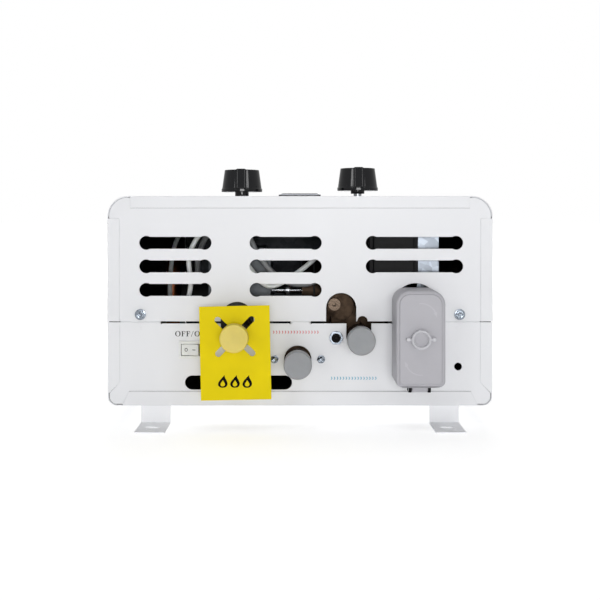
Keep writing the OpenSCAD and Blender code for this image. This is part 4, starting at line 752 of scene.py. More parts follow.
# Screen-printed inks: flat colour that hardly shines.
INK_BLACK = Finish("screen_ink_black", "#0d0d0e", 0.8, ior=1.15, mottle=0.1, patch=2 * MM)
INK_GREY = Finish("screen_ink_grey", "#5a5c60", 0.7, ior=1.2, mottle=0.05, patch=2 * MM)
INK_RED = Finish("screen_ink_red", "#d8686c", 0.5, ior=1.5, mottle=0.06, patch=2 * MM)
INK_BLUE = Finish("screen_ink_blue", "#5aa9c4", 0.5, ior=1.5, mottle=0.06, patch=2 * MM)
# Seam sealer: pale grey and matt, greyer than the coat as painted shade of the corner joints.
SEALER_AND_SHADE = Finish("seam_sealer_and_painted_shade", "#b9bbbf", 0.6, ior=1.45, mottle=0.04, patch=5 * MM)
# Painted shadow: a grey line in the crack between two coated sheets.
SEAM_SHADOW = Finish("painted_seam_shadow", "#85878b", 0.7, ior=1.4, mottle=0.06, patch=5 * MM)
# Unlit display segments: a shade over the dark window.
DIGIT_GREY = Finish("display_segment_unlit", "#2a2c31", 0.2, ior=1.49, mottle=0.05, patch=2 * MM)
# Moulded insulator: black with a dull sheen.
INSULATOR = Finish("phenolic_moulded_black", "#0d0d0e", 0.6, ior=1.25, mottle=0.1, patch=2 * MM)


class GeometryRig:
    """A Geometry Nodes tree with named inputs, whose result becomes a plain mesh."""

    def __init__(self, name: str, finish: Finish) -> None:
        """Start a tree that takes one mesh and ends in a dressed one.

        Args:
            name: Name of the tree.
            finish: Surface of what it makes.
        """
        self.finish = finish
        self.values: dict[str, float | int] = {}
        self.tree = bpy.data.node_groups.new(name, "GeometryNodeTree")
        self.tree.interface.new_socket("Shape", in_out="INPUT", socket_type="NodeSocketGeometry")
        self.tree.interface.new_socket("Result", in_out="OUTPUT", socket_type="NodeSocketGeometry")
        self.entry = add_node(self.tree, "NodeGroupInput")

    def shape(self) -> Socket:
        """Return the mesh that the tree starts from."""
        return self.entry.outputs["Shape"]

    def size(self, name: str, value: float | int) -> Socket:
        """Add a named input, note its value and return its socket."""
        kind = "NodeSocketInt" if isinstance(value, int) else "NodeSocketFloat"
        made = self.tree.interface.new_socket(name, in_out="INPUT", socket_type=kind)
        self.values[made.identifier] = value
        return self.entry.outputs[name]

    def run(self, name: str, geometry: Socket, source: Shape) -> Piece:
        """Close the tree, run it on a mesh and keep the result.

        Args:
            name: Name of the piece.
            geometry: What the tree has made so far.
            source: Mesh to start from, which is freed.
        Returns:
            A plain object at the origin.
        """
        real = add_node(self.tree, "GeometryNodeRealizeInstances", {0: geometry})
        dressed = add_node(self.tree, "GeometryNodeSetMaterial", {
            "Geometry": real.outputs[0], "Material": self.finish.material()})
        add_node(self.tree, "NodeGroupOutput", {0: dressed.outputs[0]})
        start = bpy.data.meshes.new(f"{name}_source")
        source.to_mesh(start)
        source.free()
        made = bpy.data.objects.new(name, start)
        rig = made.modifiers.new("rig", "NODES")
        rig.node_group = self.tree
        for identifier, value in self.values.items():
            rig[identifier] = value
        bpy.context.scene.collection.objects.link(made)
        graph = bpy.context.evaluated_depsgraph_get()
        result = bpy.data.meshes.new_from_object(made.evaluated_get(graph), depsgraph=graph)
        made.modifiers.remove(rig)
        made.data = result
        result.name = name
        bpy.data.meshes.remove(start)
        return made


def row_of(name: str, one: Shape, finish: Finish, count: int, pitch: float) -> Piece:
    """Repeat a shape along X.

    Args:
        name: Name of the piece.
        one: The first of the row, in its place.
        finish: Surface of the row.
        count: How many there are.
        pitch: Distance from one to the next.
    Returns:
        The row as one piece.
    """
    for face in one.faces:
        face.smooth = True
    for edge in one.edges:
        edge.smooth = edge.calc_face_angle(0.0) < math.radians(Shading.SOFT.value)
    rig = GeometryRig(f"{name}_row", finish)
    step = add_node(rig.tree, "ShaderNodeCombineXYZ", {"X": rig.size("Pitch", pitch)})
    line = add_node(rig.tree, "GeometryNodeMeshLine", {
        "Count": rig.size("Count", count), "Offset": step.outputs[0]}, mode="OFFSET")
    copies = add_node(rig.tree, "GeometryNodeInstanceOnPoints", {
        "Points": line.outputs[0], "Instance": rig.shape()})
    return rig.run(name, copies.outputs[0], one)


def tube_along(name: str, routes: Sequence[Sequence[Point]], radius: float, finish: Finish) -> Piece:
    """Sweep a round jacket along one or more routes.

    Args:
        name: Name of the piece.
        routes: Points of each route.
        radius: Radius of the jacket.
        finish: Its surface.
    Returns:
        The jackets as one piece with closed ends.
    """
    bm = bmesh.new()
    for route in routes:
        points = [bm.verts.new(p) for p in route]
        for first, second in zip(points, points[1:]):
            bm.edges.new((first, second))
    rig = GeometryRig(f"{name}_sweep", finish)
    path = add_node(rig.tree, "GeometryNodeMeshToCurve", {"Mesh": rig.shape()})
    ring = add_node(rig.tree, "GeometryNodeCurvePrimitiveCircle", {
        "Resolution": rig.size("Sides", 20), "Radius": rig.size("Radius", radius)})
    skin = add_node(rig.tree, "GeometryNodeCurveToMesh", {
        "Curve": path.outputs[0], "Profile Curve": ring.outputs[0], "Fill Caps": True})
    return rig.run(name, skin.outputs[0], bm)


def thread_on(
        name: str, axis: Point, length: float, core: float, crest: float, pitch: float,
        finish: Finish) -> Piece:
    """Wind a rounded thread ridge round an axis along Y.

    Args:
        name: Name of the piece.
        axis: Start of the thread, on its axis.
        length: Length of the thread along Y.
        core: Radius of the body under the ridge.
        crest: Radius over the ridge.
        pitch: Distance from turn to turn.
        finish: Surface of the ridge.
    Returns:
        The ridge as one piece.
    """
    rig = GeometryRig(f"{name}_helix", finish)
    turns = calc(rig.tree, "DIVIDE", rig.size("Length", length), rig.size("Pitch", pitch))
    middle = rig.size("Middle Radius", core)
    helix = add_node(rig.tree, "GeometryNodeCurveSpiral", {
        "Resolution": 48, "Rotations": turns, "Start Radius": middle,
        "End Radius": middle, "Height": rig.entry.outputs["Length"]})
    ridge = add_node(rig.tree, "GeometryNodeCurvePrimitiveCircle", {
        "Resolution": 8, "Radius": rig.size("Ridge", crest - core)})
    skin = add_node(rig.tree, "GeometryNodeCurveToMesh", {
        "Curve": helix.outputs[0], "Profile Curve": ridge.outputs[0], "Fill Caps": True})
    laid = add_node(rig.tree, "GeometryNodeTransform", {
        "Geometry": skin.outputs[0], "Translation": axis, "Rotation": (math.radians(-90), 0.0, 0.0)})
    return rig.run(name, laid.outputs[0], bmesh.new())


def spots_on(name: str, places: Sequence[Point], radius: float, rise: float, finish: Finish) -> Piece:
    """Raise a shallow round mark at each place on a sheet that faces along Y.

    Args:
        name: Name of the piece.
        places: Middle of each mark, on the sheet.
        radius: Radius of a mark.
        rise: How far a mark stands proud.
        finish: Surface of the marks.
    Returns:
        The marks as one piece.
    """
    bm = bmesh.new()
    for place in places:
        bm.verts.new(place)
    rig = GeometryRig(f"{name}_spots", finish)
    ball = add_node(rig.tree, "GeometryNodeMeshUVSphere", {
        "Segments": 20, "Rings": 8, "Radius": rig.size("Radius", radius)})
    share = calc(rig.tree, "DIVIDE", rig.size("Rise", rise), rig.entry.outputs["Radius"])
    squash = add_node(rig.tree, "ShaderNodeCombineXYZ", {"X": 1.0, "Y": share, "Z": 1.0})
    flat = add_node(rig.tree, "GeometryNodeTransform", {
        "Geometry": ball.outputs[0], "Scale": squash.outputs[0]})
    copies = add_node(rig.tree, "GeometryNodeInstanceOnPoints", {
        "Points": rig.shape(), "Instance": flat.outputs[0]})
    return rig.run(name, copies.outputs[0], bm)


@dataclass
class Casing:
    """White sheet casing: cover, pan, end panels, brackets and the screws that hold them."""

    # Rounding that the coat gives to a sheared edge
    ease: float = 0.3 * MM
    sheets: tuple[str, ...] = (
        "front_cover", "vent_panel", "cover_top_panel", "rear_pan", "connection_panel", "rear_top_panel",
        "wall_brackets_lower", "wall_brackets_upper")
    screw_ease: float = 0.25 * MM
    # Corners of the cover and the pan: outside radius, and the joint inside the rim
    cover_r: float = 18 * MM
    pan_r: float = 8 * MM
    joint_inset: float = 1.05 * MM
    joint_r: float = 0.42 * MM
    sheet: float = 0.8 * MM
    # Return flanges: width of the cover's and the pan's, relief at their ends, and the painted shadow line
    # beside them
    flange: float = 10.5 * MM
    low_flange: float = 12.5 * MM
    relief: float = 2 * MM
    shadow_line_r: float = 0.12 * MM
    # Foam tape behind the long seams: thickness, width, and how much shorter than the pan it is
    tape: float = 0.5 * MM
    tape_w: float = 7 * MM
    tape_short: float = 4.8 * MM
    # Spot welds: radius, rise, and places as a distance in from the side and up from the pan's back
    weld_r: float = 1.7 * MM
    weld_rise: float = 0.14 * MM
    welds: tuple[Pair, ...] = ((5 * MM, 61.5 * MM), (29 * MM, 67 * MM), (29 * MM, 56 * MM))

    def build(self) -> None:
        """Make the sheets, their screws, spot welds and seams, with painted shadow lines along the
        flanges.
        """
        for node in self.sheets:
            # Brackets take the lighter coat, as painted light where the body shades their feet
            ease_node(node, BRACKET_PAINTED_LIGHT if "brackets" in node else ENAMEL, self.ease, "root", "enamel")
        self.drive_screws("cover_screws")
        self.drive_screws("outlet_screws")
        self.weld_spots()
        self.seal_corners()
        self.tape_seams()
        self.paint_seam_shadows()

    def drive_screws(self, node: str) -> None:
        """Repeat the left screw of a pair across the panel."""
        one = left_half(node)
        span = [v.co.x for v in one.verts]
        pitch = 2 * (middle_of(node).x - (min(span) + max(span)) / 2)
        ease_edges(one, self.screw_ease)
        seat(row_of(f"{node}_row", one, ZINC, 2, pitch), "root", "zinc_screws", node)

    def weld_spots(self) -> None:
        """Mark the spot welds of the connection panel at both sides."""
        low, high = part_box("connection_panel")
        places = []
        for inset, rise in self.welds:
            places += [(x, low[1], low[2] + rise) for x in (low[0] + inset, high[0] - inset)]
        seat(spots_on("spot_welds", places, self.weld_r, self.weld_rise, ENAMEL), "root", "enamel")

    def seal_corners(self) -> None:
        """Lay a bead of sealer in the joint round each corner of the connection end, its grey standing as
        painted shade of the joint.
        """
        low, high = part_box("front_cover")
        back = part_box("rear_pan")[0][2]
        y = low[1] + self.sheet + self.joint_r
        corners = ((self.cover_r, high[2] - self.cover_r, 0), (self.pan_r, back + self.pan_r, -90))
        routes = []
        for side in (-1, 1):
            for radius, z, start in corners:
                x = side * (high[0] - radius)
                bend = radius - self.joint_inset
                angles = arc(steps=16, start=start)
                routes.append([(x + side * bend * math.cos(a), y, z + bend * math.sin(a)) for a in angles])
        seat(tube_along("corner_sealer_and_shade", routes, self.joint_r, SEALER_AND_SHADE), "root", "enamel")

    def tape_seams(self) -> None:
        """Stick black foam tape inside the long seams between the cover and the pan, black so that the
        seams read dark as painted shade.
        """
        low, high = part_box("rear_pan")
        size = (self.tape, high[1] - low[1] - self.tape_short, self.tape_w)
        x = high[0] - self.sheet - self.tape / 2
        bm = bmesh.new()
        join_to(bm, block(size, (-x, 0.0, high[2])), block(size, (x, 0.0, high[2])))
        seat(new_piece("seam_tape_and_shade", bm, RUBBER), "root", "rubber")

    def paint_seam_shadows(self) -> None:
        """Draw a grey line as painted shadow of the crack along the edge of each long return flange."""
        low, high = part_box("front_cover")
        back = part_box("rear_pan")[0][2]
        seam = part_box("rear_pan")[1][2]
        y = low[1] + self.sheet
        half = high[0] - self.cover_r - self.relief
        under = high[2] - self.flange - self.shadow_line_r
        over = back + self.low_flange + self.shadow_line_r
        low_half = high[0] - self.flange - self.relief - self.low_flange / 2
        routes = [[(-half, y, under), (half, y, under)], [(-low_half, y, over), (low_half, y, over)]]
        corner = back + self.pan_r + self.relief
        for side in (-1, 1):
            edge = side * (high[0] - self.flange - self.shadow_line_r)
            rim = side * (high[0] - self.sheet)
            routes.append([(edge, y, seam), (edge, y, corner + self.flange), (rim, y, corner)])
        seat(tube_along("flange_seam_shadows", routes, self.shadow_line_r, SEAM_SHADOW), "root", "enamel")


@dataclass
class Knob:
    """A moulded control knob: skirt, cone, and a grip that runs over the top and down the front."""

    node: str
    body: str
    height: float = 22 * MM
    skirt_band: float = 4 * MM
    skirt_step: float = 0.7 * MM
    top_r: float = 16.4 * MM
    grip_w: float = 8.4 * MM
    rib_h: float = 0.7 * MM
    hollow: float = 0.7 * MM
    collar_r: float = 6.6 * MM
    collar_edge: float = 0.3 * MM
    bore_r: float = 3.95 * MM
    bore_depth: float = 13 * MM
    bore_tip: float = 0.05 * MM
    # Rounding of the outer edges, and of the hollow corners beside the grip
    edge: float = 0.7 * MM
    corner: float = 1.9 * MM
    steps: int = 240
    # Rings up the cone, and over the top from its rim to its middle, as shares
    cone_rings: tuple[float, ...] = (0.05, 0.25, 0.5, 0.75, 0.9)
    top_rings: tuple[float, ...] = (0.93, 0.85, 0.75, 0.6, 0.45, 0.3, 0.15, 0.004)
    # The grip's rib ends at this share of the top's radius
    rib_end: float = 0.8

    def build(self) -> None:
        """Make the knob in the place of its frame node."""
        low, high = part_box(self.node)
        axis = middle_of(self.node)
        top = high[2]
        sink = 2 * self.hollow
        rings = []
        for radius, z, ribbed in self.profile((high[0] - low[0]) / 2, low[2], top - self.height, top):
            share = max(0.0, min(1.0, (z - top + sink) / sink))
            ring = []
            for a in round_turn(self.steps):
                r = self.grip_radius(radius, a) if ribbed else radius
                x = r * math.cos(a)
                drop = share * self.hollow * (1 - self.falloff(abs(x)))
                ring.append((axis.x + x, axis.y + r * math.sin(a), z - drop))
            rings.append(ring)
        bm = bmesh.new()
        loft(bm, rings)
        seat(new_piece(f"{self.node}_moulding", bm, KNOB_BLACK), self.body, "knob_black", self.node)

    def profile(
            self, skirt_r: float, foot: float, base: float, top: float) -> list[tuple[float, float, bool]]:
        """Return radius, height and whether the grip shows, from the bore to the top's middle.

        Args:
            skirt_r: Radius of the skirt.
            foot: Height of the collar's lower end.
            base: Height of the skirt's lower edge.
            top: Height of the top.
        Returns:
            The rings from the bore, round the outside, to the middle of the top.
        """
        cone_r = skirt_r - self.skirt_step
        band = base + self.skirt_band
        rise = top - band
        slope = (cone_r - self.top_r) / rise
        rim_r = self.top_r + slope * self.edge
        steps = 5
        quarter = arc(steps)
        shares = [i / steps for i in range(1, steps + 1)]
        plain = [(self.bore_tip, base + self.bore_depth), (self.bore_r, base + self.bore_depth)]
        plain += [(self.bore_r, foot), (self.collar_r - self.collar_edge, foot)]
        plain += [(self.collar_r, foot + self.collar_edge), (self.collar_r, base)]
        plain += [
            (skirt_r - self.edge * (1 - math.sin(a)), base + self.edge * (1 - math.cos(a)))
            for a in quarter]
        plain += [(skirt_r, band - 2 * self.edge)]
        rows = [(r, z, False) for r, z in plain]
        rows += [
            (skirt_r - self.skirt_step * smooth_step(t), band - 2 * self.edge * (1 - t), t > 0.5)
            for t in shares]
        rows += [(cone_r - slope * rise * t, band + rise * t, True) for t in self.cone_rings]
        rows += [
            (rim_r - self.edge * (1 - math.cos(a)), top - self.edge * (1 - math.sin(a)), True)
            for a in quarter]
        rows += [((rim_r - self.edge) * t, top, t > self.rib_end) for t in self.top_rings]
        return rows

    def grip_radius(self, radius: float, angle: float) -> float:
        """Return the radius with the grip's rib on the side that faces the connection end."""
        if math.sin(angle) > 0:
            return radius
        return radius + self.rib_h * self.falloff(abs(radius * math.cos(angle)))

    def falloff(self, x: float) -> float:
        """Return 1 on the grip, 0 beside it, and a smooth fall between them."""
        t = (x - self.grip_w / 2 + self.corner / 2) / self.corner
        return 1 - smooth_step(max(0.0, min(1.0, t)))


@dataclass
class FrontControls:
    """Knobs, their shafts and the display on the front face."""

    water_knob_h: float = 22.4 * MM
    shaft_ease: float = 0.25 * MM
    lens_ease: float = 0.3 * MM
    # Display frame: foot over the dark band under it, slope, corners and window
    foot_h: float = 0.3 * MM
    dark_base_h: float = 1.8 * MM
    slope: float = 3 * MM
    corner: float = 4 * MM
    least_corner: float = 0.3 * MM
    rim: float = 4 * MM
    edge: float = 0.4 * MM
    # Digits: width and height, distance from each other, a segment's width and the gap at its ends
    digit: Pair = (6 * MM, 11 * MM)
    digit_pitch: float = 8.4 * MM
    segment: float = 1.0 * MM
    segment_gap: float = 0.3 * MM

    def build(self) -> None:
        """Make the knobs, the shafts and the display."""
        Knob("gas_knob", "gas_knob_body").build()
        Knob("water_knob", "water_knob_body", self.water_knob_h).build()
        for side in ("gas", "water"):
            body = f"{side}_knob_body"
            ease_node(f"{side}_knob_shaft", SHAFT_STEEL, self.shaft_ease, body, "shaft_steel")
        self.frame_display()
        ease_node("display_lens", LENS, self.lens_ease, "root", "lens_dark")
        self.print_digits()

    def frame_display(self) -> None:
        """Loft the chromed frame round the window, and the dark rubber band under it."""
        low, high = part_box("display_bezel")
        rise = high[2] - low[2]
        foot = self.dark_base_h + self.foot_h
        rows = [(0.0, self.dark_base_h), (0.0, foot), (self.edge, foot + self.edge)]
        rows += [(self.slope, rise - self.edge / 2), (self.slope + self.edge, rise)]
        rows += [(self.rim - self.edge, rise), (self.rim, rise - self.edge), (self.rim, self.dark_base_h)]
        frame = self.lofted_ring(rows)
        seat(new_piece("display_frame_chromed", frame, CHROME), "root", "bezel_chrome", "display_bezel")
        dark_base = self.lofted_ring([
            (self.edge, 0.0), (self.edge, self.dark_base_h), (self.rim, self.dark_base_h), (self.rim, 0.0)])
        seat(new_piece("display_dark_base", dark_base, RUBBER), "root", "rubber")

    def lofted_ring(self, rows: Sequence[Pair]) -> Shape:
        """Return a ring round the window whose section is given as inset and height."""
        low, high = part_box("display_bezel")
        middle = middle_of("display_bezel")
        rings = []
        for inset, z in rows:
            radius = max(self.corner - inset, self.least_corner)
            outline = rounded_outline(
                high[0] - low[0] - 2 * inset, high[1] - low[1] - 2 * inset, radius, radius)
            rings.append([(middle.x + x, middle.y + y, low[2] + z) for x, y in outline])
        bm = bmesh.new()
        loft(bm, rings, close=False)
        return bm

    def print_digits(self) -> None:
        """Lay two unlit seven-segment digits on the window."""
        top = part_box("display_lens")[1][2] + INK_LIFT
        middle = middle_of("display_lens")
        wide, tall = self.digit
        bars = [(0.0, y, wide, self.segment) for y in (tall / 2, 0.0, -tall / 2)]
        for x in (-wide / 2, wide / 2):
            bars += [(x, y, self.segment, tall / 2) for y in (tall / 4, -tall / 4)]
        bm = bmesh.new()
        for across in (-self.digit_pitch / 2, self.digit_pitch / 2):
            for x, y, length, height in bars:
                half_x, half_y = (
                    max(size / 2 - self.segment_gap, self.segment / 2) for size in (length, height))
                at_x, at_y = middle.x + across + x, middle.y + y
                corners = box_outline(half_x, half_y)
                bm.faces.new([bm.verts.new((at_x + u, at_y + v, top)) for u, v in corners])
        seat(new_piece("display_digits", bm, DIGIT_GREY, Shading.FLAT), "root", "lens_dark")


@dataclass
class PipeEnd:
    """A threaded brass end with its plastic dust cap."""

    node: str
    cap: str
    cap_body: str
    cap_finish: Finish
    cap_slot: str
    ease: float = 0.25 * MM
    # Thread: core under the ridge, crest over it, and where it ends
    core_r: float = 9.75 * MM
    crest_r: float = 10.46 * MM
    root: float = -279 * MM
    # Drawn wider than the real thread's turns so that they show
    pitch: float = 1.9 * MM
    # The frame's plain thread may lie this far outside the crest
    slack: float = 0.2 * MM
    # Cap: rounding of its rim, dish of its face, wall, face, and the edges of its mouth
    cap_rim: float = 1.3 * MM
    cap_dish: float = 0.25 * MM
    cap_wall: float = 1.45 * MM
    cap_face: float = 2.0 * MM
    mouth_in: float = 0.2 * MM
    mouth_out: float = 0.4 * MM
    # Rings over the dished face, as shares of its radius
    face_rings: tuple[float, ...] = (0.97, 0.9, 0.75, 0.5, 0.25, 0.002)
    cap_steps: int = 72

    def build(self) -> None:
        """Make the brass end, its thread and its cap."""
        bm = node_copy(self.node)
        self.cut_thread(bm)
        ease_edges(bm, self.ease)
        seat(new_piece(f"{self.node}_cast", bm, BRASS), "root", "brass", self.node)
        self.wind_thread()
        self.turn_cap()

    def cut_thread(self, bm: Shape) -> None:
        """Draw the thread's face in to its core, so that the ridge stands on it."""
        axis = middle_of(self.cap)
        for vert in bm.verts:
            out = Vector((vert.co.x - axis.x, 0.0, vert.co.z - axis.z))
            if vert.co.y < self.root and self.core_r < out.length < self.crest_r + self.slack:
                vert.co -= out * (1 - self.core_r / out.length)

    def wind_thread(self) -> None:
        """Wind the thread's ridge round the brass."""
        axis = middle_of(self.cap)
        start = front_of(self.node) + self.pitch
        length = self.root - start - self.pitch / 2
        ridge = thread_on(
            f"{self.node}_thread", (axis.x, start, axis.z), length, self.core_r, self.crest_r,
            self.pitch, BRASS)
        seat(ridge, "root", "brass")

    def turn_cap(self) -> None:
        """Turn the dust cap: a dished face, a rounded rim and a hollow skirt."""
        low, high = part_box(self.cap)
        face, edge = low[1], high[1]
        outer = (high[0] - low[0]) / 2
        inner = outer - self.cap_wall
        shoulder = outer - self.cap_rim
        rows = [(POLE, face + self.cap_face), (inner, face + self.cap_face), (inner, edge - self.mouth_in)]
        rows += [(inner + self.mouth_in, edge), (outer - self.mouth_out, edge)]
        rows += [(outer, edge - self.mouth_out)]
        rows += [
            (shoulder + self.cap_rim * math.cos(a), face + self.cap_rim * (1 - math.sin(a)))
            for a in arc(steps=8)]
        rows += [(shoulder * t, face + self.cap_dish * (1 - t * t)) for t in self.face_rings]
        shape = turned(rows, middle_of(self.cap), self.cap_steps)
        cap = new_piece(f"{self.cap}_moulding", shape, self.cap_finish)
        seat(cap, self.cap_body, self.cap_slot, self.cap)


@dataclass
class GasTag:
    """Yellow card round the gas inlet, printed with a row of burner flames."""

    ease: float = 0.15 * MM
    # Middle of the print below the inlet's axis, and its size
    drop: float = 38.2 * MM
    flame_h: float = 10.6 * MM
    flame_pitch: float = 10.4 * MM
    count: int = 3
    # Half of a flame's outline as shares of its height, from its foot to its tip
    outer: tuple[Pair, ...] = (
        (0.0, 0.0), (0.2, 0.03), (0.34, 0.16), (0.38, 0.33), (0.31, 0.52), (0.19, 0.7), (0.08, 0.86),
        (0.03, 1.0))
    inner: tuple[Pair, ...] = (
        (0.0, 0.1), (0.11, 0.13), (0.18, 0.23), (0.16, 0.36), (0.07, 0.5), (0.0, 0.6))
    # How far the tips of the two outlines lean to one side
    outer_lean: float = 0.12
    inner_lean: float = 0.05
    steps: int = 4

    def build(self) -> None:
        """Make the card and its print."""
        ease_node("gas_tag", TAG_CARD, self.ease, "tag_body", "tag_card")
        axis = middle_of("gas_cap")
        outlines = []
        for i in range(self.count):
            x = (i - (self.count - 1) / 2) * self.flame_pitch
            outlines.append(self.flame(self.outer, x, self.outer_lean))
            outlines.append(self.flame(self.inner, x, self.inner_lean))
        at = (axis.x, front_of("gas_tag"), axis.z - self.drop - self.flame_h / 2)
        seat(flat_print("gas_tag_flames", outlines, at, INK_BLACK), "tag_body", "tag_card")

    def flame(self, half: Sequence[Pair], x: float, lean: float) -> Outline:
        """Return a smooth flame round x whose tip leans to one side."""
        loop = [(u + lean * v * v, v) for u, v in half]
        loop += [(-u + lean * v * v, v) for u, v in reversed(half[1:-1])]
        smooth = spline(loop[-1:] + loop + loop[:2], self.steps)
        return [(x + u * self.flame_h, v * self.flame_h) for u, v in smooth]


@dataclass
class WaterSide:
    """Hot outlet, cold inlet on the water valve, drain valve and the marks beside them."""

    valve_ease: float = 0.3 * MM
    drain_ease: float = 0.12 * MM
    # Flow marks: size and pitch of a chevron, and how many there are in a row
    mark: Pair = (1.5 * MM, 2.6 * MM)
    mark_pitch: float = 2.6 * MM
    mark_count: int = 16
    stroke: float = 0.8 * MM
    hot_mark: Pair = (-24.0 * MM, 81.3 * MM)
    cold_mark: Pair = (27.2 * MM, 40.6 * MM)

    def build(self) -> None:
        """Make the brass, the caps and the printed marks."""
        PipeEnd("hot_outlet_fitting", "hot_cap", "hot_cap_body", CAP_GREY, "cap_grey").build()
        PipeEnd("water_valve", "cold_cap", "cold_cap_body", CAP_GREY, "cap_grey", self.valve_ease).build()
        ease_node("drain_valve", TURNED_BRASS, self.drain_ease, "drain_valve_body", "brass")
        self.print_flow("hot_flow_marks", self.hot_mark, INK_RED)
        self.print_flow("cold_flow_marks", self.cold_mark, INK_BLUE)

    def print_flow(self, name: str, start: Pair, ink: Finish) -> None:
        """Print a row of chevrons that runs to the right from its start."""
        wide, tall = self.mark
        face = front_of("connection_panel") - INK_LIFT
        bm = bmesh.new()
        for up in (1, -1):
            end = up * tall / 2
            corners = [(0.0, end), (self.stroke, end), (wide, 0.0), (wide - self.stroke, 0.0)]
            points = [bm.verts.new((start[0] + x, face, start[1] + z)) for x, z in corners]
            bm.faces.new(points if up < 0 else points[::-1])
        seat(row_of(name, bm, ink, self.mark_count, self.mark_pitch), "root", "enamel")


# Capitals as shares of their height: width, then closed strokes
SERIF_CAPITALS: dict[str, tuple[float, list[Outline]]] = {
    "O": (1.04, [ring_points(0.52, 0.53, at=(0.52, 0.5)), ring_points(0.31, 0.47, at=(0.52, 0.5))]),
    "F": (0.76, [[
        (0.0, 0.0), (0.42, 0.0), (0.42, 0.06), (0.31, 0.06), (0.31, 0.48), (0.5, 0.48), (0.5, 0.36),
        (0.56, 0.36), (0.56, 0.68), (0.5, 0.68), (0.5, 0.55), (0.31, 0.55), (0.31, 0.94), (0.6, 0.94),
        (0.68, 0.7), (0.74, 0.7), (0.74, 1.0), (0.0, 1.0), (0.0, 0.94), (0.11, 0.94), (0.11, 0.06),
        (0.0, 0.06)]]),
    "N": (1.0, [[
        (0.0, 0.0), (0.32, 0.0), (0.32, 0.06), (0.2, 0.06), (0.2, 0.78), (0.84, -0.02), (0.9, -0.02),
        (0.9, 0.94), (1.0, 0.94), (1.0, 1.0), (0.7, 1.0), (0.7, 0.94), (0.82, 0.94), (0.82, 0.3),
        (0.28, 1.0), (0.0, 1.0), (0.0, 0.94), (0.12, 0.9), (0.12, 0.06), (0.0, 0.06)]]),
    "/": (0.5, [[(0.0, -0.05), (0.1, -0.05), (0.5, 1.05), (0.4, 1.05)]]),
}


